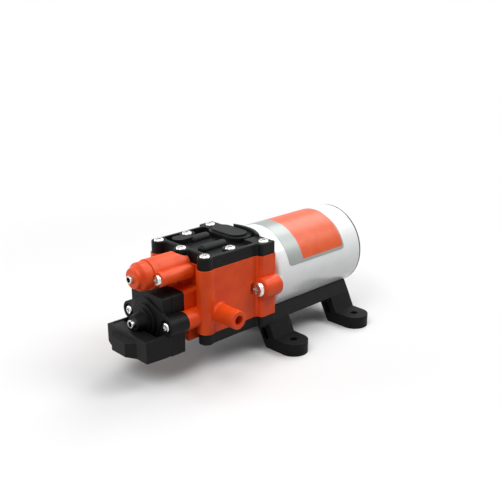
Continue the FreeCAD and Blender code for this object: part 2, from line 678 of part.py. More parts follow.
# Valve plates: let flush into the housing under each cover
def valve_plate_blank(z0, z1, grow=0.0):
    corners = [(GALLERY_X - VALVE_PLATE_HALF_X - grow, -VALVE_PLATE_HALF_Y - grow),
               (GALLERY_X + VALVE_PLATE_HALF_X + grow, -VALVE_PLATE_HALF_Y - grow),
               (GALLERY_X + VALVE_PLATE_HALF_X + grow, VALVE_PLATE_HALF_Y + grow),
               (GALLERY_X - VALVE_PLATE_HALF_X - grow, VALVE_PLATE_HALF_Y + grow)]
    return prism_z(corners, z0, z1, 2.0 + grow)


def valve_plate(z0):
    z1 = z0 + VALVE_PLATE_T
    tools = []
    for side in SIDES:
        y = side * GALLERY_Y
        tools.append(rod_z(VALVE_STEM_R + RUN, z0 - EPS, z1 + EPS, GALLERY_X, y))
        for i in range(VALVE_SEAT_HOLES):
            a = 2 * math.pi * i / VALVE_SEAT_HOLES
            hole_x = GALLERY_X + VALVE_SEAT_PITCH_R * math.cos(a)
            hole_y = y + VALVE_SEAT_PITCH_R * math.sin(a)
            tools.append(rod_z(VALVE_SEAT_HOLE_R, z0 - EPS, z1 + EPS, hole_x, hole_y))
    return without(valve_plate_blank(z0, z1), *tools)


def check_valve(plate_z0, y, up):
    """Rubber umbrella: disc on one face of the plate, stem through it, bead on the other side."""
    face = plate_z0 + VALVE_PLATE_T if up else plate_z0
    s = 1 if up else -1
    bead = -VALVE_PLATE_T - VALVE_LIFT - 2 * RUN
    spans = [(VALVE_R, RUN, RUN + VALVE_T), (VALVE_STEM_R, bead - VALVE_BEAD_T, RUN + VALVE_T),
             (VALVE_BEAD_R, bead - VALVE_BEAD_T, bead)]
    shapes = []
    for r, a, b in spans:
        low, high = sorted((face + s * a, face + s * b))
        shapes.append(rod_z(r, low, high, GALLERY_X, y))
    return joined(*shapes)


# Covers: black mouldings; the upper one is drawn and the lower one is its mirror image
def head_cover(thickness, raise_by, sink, floor_drop):
    """Cover with its joint face at z = 0 and its rim at z = thickness."""
    top = thickness + raise_by
    floor = thickness - floor_drop
    shell = cover_outline(0.0, thickness)
    rim_edges = [edge for edge in shell.Edges if edge.BoundBox.ZMin > thickness - EPS / 2]
    shell = shell.makeFillet(COVER_EDGE_R, rim_edges)
    bulge_room = block(BULGE_START_X, CAN_FRONT_X - GAP, -REAR_SCREW_Y, REAR_SCREW_Y, 0.0, top)
    solid = joined(shell, rod_z(BULGE_R, 0.0, top, BULGE_CENTRE_X, 0.0).common(bulge_room))

    front, half = HEAD_FRONT_X + COVER_RIM, SIDE_HALF - COVER_RIM
    front_pocket = prism_z([(front, -half), (POCKET_REAR_X, -half), (POCKET_REAR_X, half), (front, half)],
                           floor, top + EPS, 2.0)
    rear_pocket = rod_z(BULGE_R - BULGE_RIM, floor, top + EPS, BULGE_CENTRE_X, 0.0).common(
        block(PLATEAU_X - PLATEAU_R, CAN_FRONT_X, -BULGE_POCKET_HALF, BULGE_POCKET_HALF, floor, top + EPS))
    bosses = [rod_z(SCREW_BOSS_R, floor - EPS, thickness, x, y) for x, y in SCREW_PLACES]
    spokes = []
    for angle in SPOKE_ANGLES:
        spoke = block(BULGE_CENTRE_X, BULGE_CENTRE_X + BULGE_R, -SPOKE_WIDTH / 2, SPOKE_WIDTH / 2,
                      floor - EPS, floor + SPOKE_HEIGHT)
        spoke.rotate(V(BULGE_CENTRE_X, 0, 0), V(0, 0, 1), angle)
        spokes.append(spoke.common(block(PLATEAU_X, CAN_FRONT_X, -BULGE_R, 0.0, floor - EPS, top)))
    solid = without(solid, without(joined(front_pocket, rear_pocket), *(bosses + spokes)))

    ribs = []
    for y, (front, rear) in ((NEAR_RIB_Y, NEAR_RIB_X), (FAR_RIB_Y, FAR_RIB_X)):
        foot = floor + RIB_RAISE
        bar = turned_x([(front, 0.0), (front, RIB_R), (rear, RIB_R), (rear, 0.0)], y, foot,
                       [0, RIB_END_R, RIB_END_R, 0])
        room = block(front - EPS, rear + EPS, y - RIB_R, y + RIB_R, foot, foot + RIB_R + EPS)
        ribs.append(bar.common(room))
        ribs.append(prism_z([(front, y - RIB_R), (rear, y - RIB_R), (rear, y + RIB_R), (front, y + RIB_R)],
                            floor - EPS, foot, RIB_END_R))
    ring_top = thickness - PLATEAU_RING_DROP
    crown_near = PLATEAU_Y - PLATEAU_HALF_LENGTH + PLATEAU_NEAR_STEP
    crown_far = PLATEAU_Y + PLATEAU_HALF_LENGTH - PLATEAU_STEP
    crown_r = PLATEAU_R - PLATEAU_STEP
    ring_half = PLATEAU_HALF_LENGTH - PLATEAU_R
    crown_half = (crown_far - crown_near) / 2 - crown_r
    plateau = joined(stadium_z(PLATEAU_X, PLATEAU_Y, ring_half, PLATEAU_R, floor - EPS, ring_top),
                     stadium_z(PLATEAU_X, (crown_near + crown_far) / 2, crown_half, crown_r,
                               floor - EPS, thickness + PLATEAU_RISE))
    crown_room = stadium_z(PLATEAU_X, PLATEAU_Y, ring_half, PLATEAU_R, ring_top, top + EPS)
    pad = stadium_z(PAD_X, PAD_Y, PAD_HALF_LENGTH - PAD_R, PAD_R, floor - EPS, thickness, along_y=False)
    solid = joined(without(solid, crown_room), plateau, pad, *ribs)

    tools = [rod_z(CHAMBER_R, -EPS, CHAMBER_DEPTH, CHAMBER_X, 0.0)]
    for side in SIDES:
        y = side * GALLERY_Y
        tools.append(rod_z(GALLERY_MOUTH_R, -EPS, CHAMBER_DEPTH, GALLERY_X, y))
        duct_y = side * (GALLERY_Y - COVER_DUCT_IN)
        tools.append(block(GALLERY_X, CHAMBER_X, duct_y - COVER_DUCT_HALF, duct_y + COVER_DUCT_HALF,
                           -EPS, COVER_DUCT_DEPTH))
    for x, y in SCREW_PLACES:
        tools.append(rod_z(COVER_SCREW_R + 2 * SLIP, -EPS, top + EPS, x, y))
        tools.append(rod_z(SCREW_SINK_R, thickness - sink, top + EPS, x, y))
    return without(solid, *tools)


def top_cover():
    solid = head_cover(TOP_COVER_T, TOP_RAISE, TOP_SCREW_SINK, TOP_FLOOR_DROP)
    solid.translate(V(0, 0, TOP_FACE_Z))
    return solid


def bottom_cover():
    solid = head_cover(BOTTOM_COVER_T, BOTTOM_RAISE, BOTTOM_SCREW_SINK, BOTTOM_FLOOR_DROP)
    solid = solid.mirror(V(0, 0, 0), V(0, 0, 1))
    solid.translate(V(0, 0, BOTTOM_FACE_Z))
    return solid


# Drive: eccentric on the shaft, ball bearing, rigid yoke that pushes both diaphragms
def diaphragm(z0):
    """Rubber disc clamped at its rim; its middle rides with the yoke, at rest one throw towards +Y."""
    disc = rod_z(DIAPHRAGM_R, z0, z0 + DIAPHRAGM_T, CHAMBER_X, 0.0)
    return without(disc, rod_z(PISTON_SCREW_R + SLIP, z0 - EPS, z0 + DIAPHRAGM_T + EPS, CHAMBER_X, THROW))


def yoke():
    half = YOKE_WIDTH / 2
    flange_z = TOP_FACE_Z - DIAPHRAGM_T - RUN - YOKE_FLANGE_T
    low_face = BOTTOM_FACE_Z + DIAPHRAGM_T + RUN
    solid = joined(rod_x(YOKE_RING_R, CHAMBER_X - half, CHAMBER_X + half, THROW),
                   rod_z(YOKE_NECK_R, low_face, flange_z + YOKE_FLANGE_T, CHAMBER_X, THROW),
                   rod_z(YOKE_FLANGE_R, flange_z, flange_z + YOKE_FLANGE_T, CHAMBER_X, THROW),
                   rod_z(YOKE_FLANGE_R, low_face, low_face + YOKE_FLANGE_T, CHAMBER_X, THROW))
    reach = PISTON_SCREW_LENGTH - DIAPHRAGM_T - PISTON_T
    return without(solid, rod_x(BEARING_R, CHAMBER_X - BEARING_R, CHAMBER_X + BEARING_R, THROW),
                   rod_z(PISTON_SCREW_R, flange_z + YOKE_FLANGE_T - reach, TOP_FACE_Z, CHAMBER_X, THROW),
                   rod_z(PISTON_SCREW_R, BOTTOM_FACE_Z, low_face + reach, CHAMBER_X, THROW))


def countersink(z0):
    return Part.makeCone(PISTON_SCREW_R, PISTON_SCREW_HEAD_R, PISTON_T, V(CHAMBER_X, THROW, z0), V(0, 0, 1))


def piston_plate():
    """Upper clamp plate of the diaphragm, countersunk for its screw."""
    z0 = TOP_FACE_Z + RUN
    plate = rod_z(PISTON_R, z0, z0 + PISTON_T, CHAMBER_X, THROW)
    return without(plate, rod_z(PISTON_SCREW_R, z0 - EPS, z0 + PISTON_T + EPS, CHAMBER_X, THROW),
                   countersink(z0))


def piston_screw():
    z0 = TOP_FACE_Z + RUN
    end = z0 + PISTON_T - PISTON_SCREW_LENGTH
    return joined(countersink(z0), rod_z(PISTON_SCREW_R, end, z0, CHAMBER_X, THROW))


def ball_track():
    track = Part.makeTorus(bearing_pitch_r(), BALL_R + RUN, V(CHAMBER_X, THROW, AXIS_Z), V(1, 0, 0))
    return track


def bearing_pitch_r():
    return (BEARING_R + BEARING_BORE_R) / 2


def bearing_ring(outer, inner):
    half = BEARING_WIDTH / 2
    return without(ring_x(outer, inner, CHAMBER_X - half, CHAMBER_X + half, THROW), ball_track())


def bearing_balls():
    balls = []
    for i in range(BALL_COUNT):
        a = 2 * math.pi * i / BALL_COUNT
        y, z = THROW + bearing_pitch_r() * math.cos(a), AXIS_Z + bearing_pitch_r() * math.sin(a)
        centre = V(CHAMBER_X, y, z)
        balls.append(Part.makeSphere(BALL_R, centre))
    return Part.makeCompound(balls)


def eccentric():
    half = BEARING_WIDTH / 2
    shoulder_x = CHAMBER_X + half + ECCENTRIC_SHOULDER
    solid = joined(rod_x(BEARING_BORE_R, CHAMBER_X - half, shoulder_x, THROW),
                   rod_x(ECCENTRIC_SHOULDER_R, CHAMBER_X + half, shoulder_x, THROW),
                   rod_x(COLLAR_R, shoulder_x, shoulder_x + COLLAR_LENGTH))
    return without(solid, rod_x(SHAFT_R, SHAFT_FRONT_X - EPS, SHAFT_REAR_X),
                   rod_z(SET_SCREW_R, AXIS_Z, AXIS_Z + COLLAR_R + EPS, shoulder_x + COLLAR_LENGTH / 2, 0.0))


def eccentric_set_screw():
    x = CHAMBER_X + BEARING_WIDTH / 2 + ECCENTRIC_SHOULDER + COLLAR_LENGTH / 2
    screw = rod_z(SET_SCREW_R, AXIS_Z, AXIS_Z + COLLAR_R - 0.4, x, 0.0)
    return without(screw, rod_x(SHAFT_R, x - COLLAR_LENGTH, x + COLLAR_LENGTH),
                   rod_z(SET_SCREW_R * 0.5, AXIS_Z + COLLAR_R - 1.8, AXIS_Z + COLLAR_R, x, 0.0))


# Motor
def motor_can():
    outer = turned_x([(CAN_FRONT_X, 0.0), (CAN_FRONT_X, CAN_R), (CAN_REAR_X, CAN_R), (CAN_REAR_X, 0.0)],
                     radius=[0, CAN_EDGE_R, 0, 0])
    screw_holes = [rod_z(BASE_SCREW_R, CAN_BOTTOM_Z - EPS, CAN_BOTTOM_Z + 2 * CAN_WALL, x, 0.0)
                   for x in BASE_SCREW_X]
    return without(outer, rod_x(CAN_R - CAN_WALL, CAN_FRONT_X + CAN_WALL, CAN_REAR_X + EPS),
                   rod_x(CAN_FRONT_HOLE_R, CAN_FRONT_X - EPS, CAN_FRONT_X + CAN_WALL + EPS), *screw_holes)


def brush_x():
    return COMMUTATOR_FRONT_X + COMMUTATOR_LENGTH / 2


def motor_end_cap():
    inner_x = CAN_REAR_X - CAP_SPIGOT
    rear_x = CAN_REAR_X + CAP_RIM
    rim = turned_x([(CAN_REAR_X, 0.0), (CAN_REAR_X, CAN_R), (rear_x, CAN_R), (rear_x, 0.0)],
                   radius=[0, 0, CAP_RIM * 0.6, 0])
    spigot = ring_x(CAN_R - CAN_WALL - SLIP, CAN_R - CAN_WALL - SLIP - CAP_WALL, inner_x, CAN_REAR_X)
    boss = rod_x(BUSH_R + CAP_WALL, inner_x, CAN_REAR_X)
    lead_z = AXIS_Z - GROMMET_DROP
    inner_r = CAP_RECESS_INNER_R
    outer_r = CAN_R - CAP_RECESS_EDGE
    grommet_room = rod_x(GROMMET_R + GROMMET_LIP + SLIP, CAN_REAR_X - 2 * CAP_RECESS, CAN_REAR_X, 0.0, lead_z)
    backing = without(ring_x(outer_r + CAP_RIM, inner_r - CAP_RIM, CAN_REAR_X - CAP_RECESS, CAN_REAR_X),
                      grommet_room)
    recess = without(ring_x(outer_r, inner_r, rear_x - CAP_RECESS, rear_x + EPS),
                     rod_x(GROMMET_BOSS_R, rear_x - 2 * CAP_RECESS, rear_x + 2 * EPS, 0.0, lead_z))
    half_x = BRUSH_WIDTH / 2 + SLIP + GUIDE_WALL
    half_z = BRUSH_HEIGHT / 2 + SLIP + GUIDE_WALL
    guides = []
    slots = []
    for side in SIDES:
        y0, y1 = sorted((side * (COMMUTATOR_R + 1.2), side * GUIDE_OUTER_Y))
        guides.append(block(brush_x() - half_x, CAN_REAR_X, y0, y1, AXIS_Z - half_z, AXIS_Z + half_z))
        y0, y1 = sorted((side * COMMUTATOR_R, side * (GUIDE_OUTER_Y - GUIDE_WALL)))
        slots.append(block(brush_x() - BRUSH_WIDTH / 2 - SLIP, brush_x() + BRUSH_WIDTH / 2 + SLIP, y0, y1,
                           AXIS_Z - BRUSH_HEIGHT / 2 - SLIP, AXIS_Z + BRUSH_HEIGHT / 2 + SLIP))
    solid = joined(without(rim, recess), spigot, boss, backing, *guides)
    bush_room = rod_x(BUSH_R, inner_x - EPS, inner_x + BUSH_LENGTH)
    shaft_room = rod_x(COMMUTATOR_R + GAP, COMMUTATOR_FRONT_X, inner_x)
    lead_hole = rod_x(GROMMET_R, inner_x, rear_x + EPS, 0.0, lead_z)
    return without(solid, bush_room, shaft_room, lead_hole, *slots)


def motor_bushes():
    rear_x = CAN_REAR_X - CAP_SPIGOT
    front_x = HEAD_REAR_X - FRONT_BOSS_LENGTH
    return Part.makeCompound([ring_x(BUSH_R, SHAFT_R + RUN, x, x + BUSH_LENGTH) for x in (rear_x, front_x)])


def motor_front_plate():
    disc = rod_x(FRONT_PLATE_R, HEAD_REAR_X, CAN_FRONT_X)
    disc = disc.common(block(HEAD_REAR_X, CAN_FRONT_X, -CAN_R, CAN_R, AXIS_Z - FRONT_PLATE_HALF_HEIGHT,
                             AXIS_Z + FRONT_PLATE_HALF_HEIGHT))
    ears = [rod_x(MOTOR_EAR_R, MOTOR_BOSS_REAR_X, MOTOR_EAR_REAR_X, side * MOTOR_SCREW_Y) for side in SIDES]
    bridge = block(MOTOR_BOSS_REAR_X, MOTOR_EAR_REAR_X, -MOTOR_SCREW_Y, MOTOR_SCREW_Y,
                   AXIS_Z - MOTOR_EAR_R, AXIS_Z + MOTOR_EAR_R)
    front = HEAD_REAR_X - FRONT_BOSS_LENGTH
    solid = joined(disc, bridge, rod_x(FRONT_BOSS_R, front, HEAD_REAR_X), *ears)
    tools = [rod_x(BUSH_R, front - EPS, front + BUSH_LENGTH), rod_x(SHAFT_R + GAP, front, CAN_FRONT_X + EPS)]
    for side in SIDES:
        y = side * MOTOR_SCREW_Y
        tools.append(rod_x(MOTOR_BOSS_R + SLIP, HEAD_REAR_X - EPS, MOTOR_BOSS_REAR_X, y))
        tools.append(rod_x(MOTOR_SCREW_R + SLIP, HEAD_REAR_X - EPS, CAN_FRONT_X + EPS, y))
    return without(solid, *tools)


def magnets():
    shapes = []
    outer = CAN_R - CAN_WALL - RUN
    for side in SIDES:
        a0 = math.radians(90 - MAGNET_HALF_ANGLE)
        reach = outer / math.sin(a0)
        corner_y, corner_z = reach * math.cos(a0), AXIS_Z + side * reach * math.sin(a0)
        wedge = prism_x([(0.0, AXIS_Z), (corner_y, corner_z), (0.0, AXIS_Z + side * reach * 2),
                         (-corner_y, corner_z)], -MAGNET_HALF_LENGTH, MAGNET_HALF_LENGTH)
        shapes.append(ring_x(outer, outer - MAGNET_T, -MAGNET_HALF_LENGTH, MAGNET_HALF_LENGTH).common(wedge))
    return Part.makeCompound(shapes)


def slot_places():
    step = 2 * math.pi / ARMATURE_POLES
    return [(SLOT_CENTRE_R * math.sin(step * i), AXIS_Z + SLOT_CENTRE_R * math.cos(step * i),
             math.degrees(step * i)) for i in range(ARMATURE_POLES)]


def armature_core():
    x0, x1 = -ARMATURE_HALF_LENGTH, ARMATURE_HALF_LENGTH
    tools = [rod_x(SHAFT_R, x0 - EPS, x1 + EPS)]
    for y, z, angle in slot_places():
        tools.append(rod_x(SLOT_R, x0 - EPS, x1 + EPS, y, z))
        mouth = block(x0 - EPS, x1 + EPS, -SLOT_MOUTH / 2, SLOT_MOUTH / 2,
                      AXIS_Z + SLOT_CENTRE_R, AXIS_Z + ARMATURE_R + EPS)
        mouth.rotate(V(0, 0, AXIS_Z), V(1, 0, 0), -angle)
        tools.append(mouth)
    return without(rod_x(ARMATURE_R, x0, x1), *tools)


def armature_windings():
    x0 = -ARMATURE_HALF_LENGTH - WINDING_END
    x1 = ARMATURE_HALF_LENGTH + WINDING_END
    ends = []
    for a, b in ((x0, -ARMATURE_HALF_LENGTH), (ARMATURE_HALF_LENGTH, x1)):
        corners = [(a, WINDING_INNER_R), (a, WINDING_OUTER_R), (b, WINDING_OUTER_R), (b, WINDING_INNER_R)]
        ends.append(turned_x(corners, radius=WINDING_END * 0.35))
    runs = [rod_x(SLOT_R - SLIP, x0 + WINDING_END / 2, x1 - WINDING_END / 2, y, z)
            for y, z, _ in slot_places()]
    return joined(*(ends + runs))


def commutator():
    x0 = COMMUTATOR_FRONT_X
    x1 = x0 + COMMUTATOR_LENGTH
    tools = [rod_x(SHAFT_R, x0 - EPS, x1 + EPS)]
    for i in range(ARMATURE_POLES):
        cut = block(x0 - EPS, x1 + EPS, -0.3, 0.3, AXIS_Z + COMMUTATOR_R - 1.2, AXIS_Z + COMMUTATOR_R + EPS)
        cut.rotate(V(0, 0, AXIS_Z), V(1, 0, 0), 360.0 * (i + 0.5) / ARMATURE_POLES)
        tools.append(cut)
    return without(rod_x(COMMUTATOR_R, x0, x1), *tools)


def brush(side):
    y0, y1 = sorted((side * COMMUTATOR_R * 0.5, side * (COMMUTATOR_R + RUN + BRUSH_LENGTH)))
    body = block(brush_x() - BRUSH_WIDTH / 2, brush_x() + BRUSH_WIDTH / 2, y0, y1,
                 AXIS_Z - BRUSH_HEIGHT / 2, AXIS_Z + BRUSH_HEIGHT / 2)
    return without(body, rod_x(COMMUTATOR_R + RUN, COMMUTATOR_FRONT_X - EPS,
                               COMMUTATOR_FRONT_X + COMMUTATOR_LENGTH + EPS))


def brush_springs():
    shapes = []
    for side in SIDES:
        start = COMMUTATOR_R + RUN + BRUSH_LENGTH + RUN
        length = GUIDE_OUTER_Y - GUIDE_WALL - RUN - start
        base = V(brush_x(), side * start, AXIS_Z)
        outer = Part.makeCylinder(BRUSH_WIDTH * 0.4, length, base, V(0, side, 0))
        inner = Part.makeCylinder(BRUSH_WIDTH * 0.4 - SPRING_WIRE, length, base, V(0, side, 0))
        shapes.append(without(outer, inner))
    return Part.makeCompound(shapes)


def lead_grommet():
    z = AXIS_Z - GROMMET_DROP
    rear_x = CAN_REAR_X + CAP_RIM
    lip_r = GROMMET_R + GROMMET_LIP
    end_x = rear_x + GROMMET_LIP
    solid = joined(rod_x(GROMMET_R, CAN_REAR_X - GROMMET_LIP, end_x, 0.0, z),
                   turned_x([(rear_x, 0.0), (rear_x, lip_r), (end_x, lip_r), (end_x, 0.0)],
                            0.0, z, [0, 0, GROMMET_LIP * 0.6, 0]),
                   rod_x(lip_r, CAN_REAR_X - GROMMET_LIP, CAN_REAR_X, 0.0, z))
    return without(solid, *[rod_x(LEAD_R, CAN_REAR_X - 2 * EPS, end_x + EPS, side * LEAD_R * 1.5, z)
                            for side in SIDES])


def rating_label():
    sheet = ring_x(CAN_R + LABEL_T, CAN_R + LABEL_GLUE, LABEL_FRONT_X, LABEL_REAR_X)
    corners = [(LABEL_FRONT_X, LABEL_EDGE_Z), (LABEL_REAR_X, LABEL_EDGE_Z),
               (LABEL_REAR_X, AXIS_Z + CAN_R + EPS), (LABEL_FRONT_X, AXIS_Z + CAN_R + EPS)]
    return sheet.common(prism_y(corners, -CAN_R - EPS, CAN_R + EPS, [LABEL_CORNER_R, LABEL_CORNER_R, 0, 0]))


# Bypass valve
def bypass_cap():
    z = BYPASS_Z
    nose = turned_x([(CAP_NOSE_FRONT_X, 0.0), (CAP_NOSE_FRONT_X, CAP_NOSE_R),
                     (CAP_BODY_FRONT_X - CAP_NECK, CAP_NOSE_R + 0.2), (CAP_BODY_FRONT_X, CAP_BODY_R),
                     (CAP_FLANGE_FRONT_X, CAP_BODY_R), (CAP_FLANGE_FRONT_X, 0.0)],
                    0.0, z, [0, 0.8, 0.6, 1.0, 0, 0])
    flange = rod_x(BARREL_R, CAP_FLANGE_FRONT_X, BARREL_FRONT_X, 0.0, z)
    ears = [rod_x(EAR_R, CAP_EAR_FRONT_X, BARREL_FRONT_X, side * EAR_Y, EAR_Z) for side in SIDES]
    solid = joined(nose, flange, *ears)
    head_front = CAP_EAR_FRONT_X - COVER_SCREW_HEAD - SLIP
    head_room = [rod_x(COVER_SCREW_HEAD_R + SLIP, head_front, CAP_EAR_FRONT_X, side * EAR_Y, EAR_Z)
                 for side in SIDES]
    holes = [rod_x(COVER_SCREW_R + SLIP, head_front, BARREL_FRONT_X + EPS, side * EAR_Y, EAR_Z)
             for side in SIDES]
    spring_room = rod_x(BYPASS_BORE_R, bypass_spring_seat_x() - SLIP, BARREL_FRONT_X + EPS, 0.0, z)
    screw_room = rod_x(ADJUSTER_R + RUN, CAP_NOSE_FRONT_X - EPS, BARREL_FRONT_X, 0.0, z)
    return without(solid, spring_room, screw_room, *(holes + head_room))


def bypass_spring_seat_x():
    """Outer face of the spring seat when the adjusting screw is fully out."""
    return CAP_FLANGE_FRONT_X + 1.0


def bypass_spring():
    start = bypass_spring_seat_x() + SPRING_SEAT_T + RUN
    end = poppet_back_x() - RUN
    outer = SPRING_SEAT_R - SLIP
    return ring_x(outer, outer - SPRING_WIRE, start, end, 0.0, BYPASS_Z)


def poppet_back_x():
    return BYPASS_BORE_REAR_X - RUN - POPPET_TIP - POPPET_LENGTH


def bypass_poppet():
    back = poppet_back_x()
    return joined(rod_x(POPPET_R, back, back + POPPET_LENGTH, 0.0, BYPASS_Z),
                  rod_x(POPPET_TIP_R, back + POPPET_LENGTH, back + POPPET_LENGTH + POPPET_TIP, 0.0, BYPASS_Z))


def bypass_seal():
    centre = V(BARREL_FRONT_X + SEAL_WIRE_R, 0.0, BYPASS_Z)
    return Part.makeTorus(SEAL_R, SEAL_WIRE_R, centre, V(1, 0, 0))


# Pressure switch
def tray_corners(z0, z1):
    """Section of the contact tray; its far lower corner is cut off at a slant."""
    return [(TRAY_NEAR_Y, z0), (TRAY_FAR_Y - TRAY_CHAMFER_Y, z0), (TRAY_FAR_Y, z0 + TRAY_CHAMFER_Z),
            (TRAY_FAR_Y, z1), (TRAY_NEAR_Y, z1)]


def switch_body():
    seam, rear = SWITCH_SEAM_X, SWITCH_REAR_X
    upper = switch_outline(seam, rear)
    lower = prism_x(tray_corners(BODY_BOTTOM_Z, SWITCH_Z - LUG_R + 1.0), TRAY_SEAM_X, TRAY_REAR_X,
                    [1.0, 0, 0, 0, 0])
    lug_shapes = lugs(seam, LUG_REAR_X)
    solid = joined(upper, lower, *lug_shapes)
    room_half = SWITCH_HALF + SLIP
    front_room = block(TRAY_SEAM_X - EPS, seam, -room_half, room_half,
                       SWITCH_Z - SWITCH_HALF / 2, SWITCH_TOP_Z)
    flange_rear = PLUNGER_FLANGE_X + PLUNGER_FLANGE_T + GAP + EPS
    tools = [front_room,
             rod_x(SWITCH_DIAPHRAGM_R + SLIP, rear - SWITCH_DIAPHRAGM_T, rear + EPS, 0.0, SWITCH_Z),
             rod_x(PLUNGER_FOOT_R + GAP, plunger_foot_x() - PLUNGER_TRAVEL - GAP, rear, 0.0, SWITCH_Z),
             rod_x(PLUNGER_STEM_R + RUN, TRAY_SEAM_X - EPS, rear, 0.0, SWITCH_Z),
             rod_x(PLUNGER_FLANGE_R + GAP, seam - EPS, flange_rear, 0.0, SWITCH_Z)]
    for side in SIDES:
        tools.append(rod_x(COVER_SCREW_R + SLIP, TRAY_SEAM_X - EPS, rear + EPS, side * LUG_Y, SWITCH_Z))
        tools.append(rod_x(LUG_R + SLIP, TRAY_SEAM_X - EPS, seam, side * LUG_Y, SWITCH_Z))
    cover_room = rod_x(SWITCH_ROUND_R + SLIP, TRAY_SEAM_X - EPS, seam, 0.0, SWITCH_Z)
    return without(solid, cover_room, seam_groove(), *tools)


def seam_groove():
    """Shallow groove around the upper block where the two halves of the switch meet."""
    x0, x1 = SWITCH_SEAM_X - SEAM_GROOVE / 2, SWITCH_SEAM_X + SEAM_GROOVE / 2
    band = without(switch_outline(x0, x1, EPS), switch_outline(x0 - EPS, x1 + EPS, -SEAM_GROOVE))
    return without(band, *lugs(x0 - EPS, x1 + EPS))


def plunger_foot_x():
    """Front face of the plunger's foot, which lies on the switch diaphragm."""
    return SWITCH_REAR_X - SWITCH_DIAPHRAGM_T - RUN - PLUNGER_FOOT_T


def hub_webs(x0, x1):
    """Flat webs that run off the hub disc in a tangent line to each lug and slope back towards it."""
    lean = (HUB_DISC_R - LUG_R) / LUG_Y
    rise = math.sqrt(1.0 - lean * lean)
    webs = []
    for side in SIDES:
        root_y, root_z = HUB_DISC_R * lean, HUB_DISC_R * rise
        tip_y, tip_z = LUG_Y + LUG_R * lean, LUG_R * rise
        web = prism_x([(side * root_y, SWITCH_Z - root_z), (side * tip_y, SWITCH_Z - tip_z),
                       (side * tip_y, SWITCH_Z + tip_z), (side * root_y, SWITCH_Z + root_z)], x0, x1)
        slope = [(x0, 0.0), (x0, side * WEB_SLOPE_Y[0]), (LUG_FRONT_X, side * WEB_SLOPE_Y[1]),
                 (LUG_FRONT_X, side * (LUG_Y + LUG_R)), (x1, side * (LUG_Y + LUG_R)), (x1, 0.0)]
        webs.append(web.common(prism_z(slope, SWITCH_Z - HUB_DISC_R, SWITCH_Z + HUB_DISC_R)))
    return webs


def switch_cover():
    seam = SWITCH_SEAM_X
    upper = switch_outline(SWITCH_FRONT_X, seam)
    tray = prism_x(tray_corners(TRAY_BOTTOM_Z - TRAY_SEAM_DROP, TRAY_TOP_Z), TRAY_FRONT_X, TRAY_SEAM_X,
                   [1.0, 0, 0, 0.5, 0.5])
    profile = [(TRAY_FRONT_X, TRAY_BOTTOM_Z), (TRAY_SEAM_X, TRAY_BOTTOM_Z - TRAY_SEAM_DROP),
               (TRAY_SEAM_X, TRAY_TOP_Z), (TRAY_FRONT_X, TRAY_TOP_Z)]
    tray = tray.common(prism_y(profile, TRAY_NEAR_Y, TRAY_FAR_Y))
    root_x = TRAY_FRONT_X + EPS
    nose = prism_z([(root_x, NOSE_NEAR_ROOT_Y), (TRAY_FRONT_X, NOSE_NEAR_ROOT_Y), (NOSE_FRONT_X, NOSE_NEAR_Y),
                    (NOSE_FRONT_X, NOSE_FAR_Y), (TRAY_FRONT_X, NOSE_FAR_ROOT_Y), (root_x, NOSE_FAR_ROOT_Y)],
                   TRAY_BOTTOM_Z, NOSE_TOP_Z)
    nose = nose.common(prism_y([(root_x, TRAY_BOTTOM_Z), (root_x, NOSE_TOP_Z), (TRAY_FRONT_X, NOSE_TOP_Z),
                                (NOSE_FRONT_X, NOSE_CREASE_Z), (NOSE_FRONT_X, TRAY_BOTTOM_Z)],
                               TRAY_NEAR_Y, TRAY_FAR_Y))
    well = block(TRAY_FRONT_X + TRAY_WALL, SWITCH_FRONT_X, TRAY_NEAR_Y + TRAY_WALL, TRAY_FAR_Y - TRAY_WALL,
                 TRAY_BOTTOM_Z + TRAY_FLOOR, TRAY_TOP_Z + EPS)
    hub = [rod_x(r, front, SWITCH_FRONT_X, 0.0, SWITCH_Z) for r, front in HUB_STEPS]
    hub.append(rod_x(HUB_DISC_R, HUB_DISC_FRONT_X, SWITCH_FRONT_X, 0.0, SWITCH_Z))
    hub.append(turned_x([(SWITCH_FRONT_X, 0.0), (SWITCH_FRONT_X, HUB_ROOT_R), (HUB_STEPS[-1][1], HUB_ROOT_R),
                         (HUB_END_X, HUB_END_R), (HUB_END_X, 0.0)], 0.0, SWITCH_Z))
    front_lugs = lugs(LUG_FRONT_X, seam)
    webs = hub_webs(HUB_DISC_FRONT_X, SWITCH_FRONT_X + EPS)
    solid = joined(without(tray, well), upper, nose, *(hub + front_lugs + webs))
    front_x = PLUNGER_FLANGE_X - PLUNGER_TRAVEL - GAP / 2
    tools = [rod_x(PLUNGER_FLANGE_R + GAP, front_x, seam + EPS, 0.0, SWITCH_Z),
             rod_x(HUB_BORE_R, HUB_BORE_FRONT_X, seam, 0.0, SWITCH_Z),
             rod_x(SWITCH_ADJUSTER_R + RUN, SWITCH_SCREW_TIP_X, seam, 0.0, SWITCH_Z),
             rod_x(PIN_R + RUN, SWITCH_FRONT_X - 6 * EPS, seam, 0.0, SWITCH_Z - PIN_DROP)]
    for side in SIDES:
        tools.append(rod_x(COVER_SCREW_R + SLIP, LUG_FRONT_X - EPS, seam + EPS, side * LUG_Y, SWITCH_Z))
        tools.append(rod_x(LUG_SINK_R, HUB_DISC_FRONT_X, LUG_FRONT_X + LUG_SINK, side * LUG_Y, SWITCH_Z))
    return without(solid, seam_groove(), *tools)


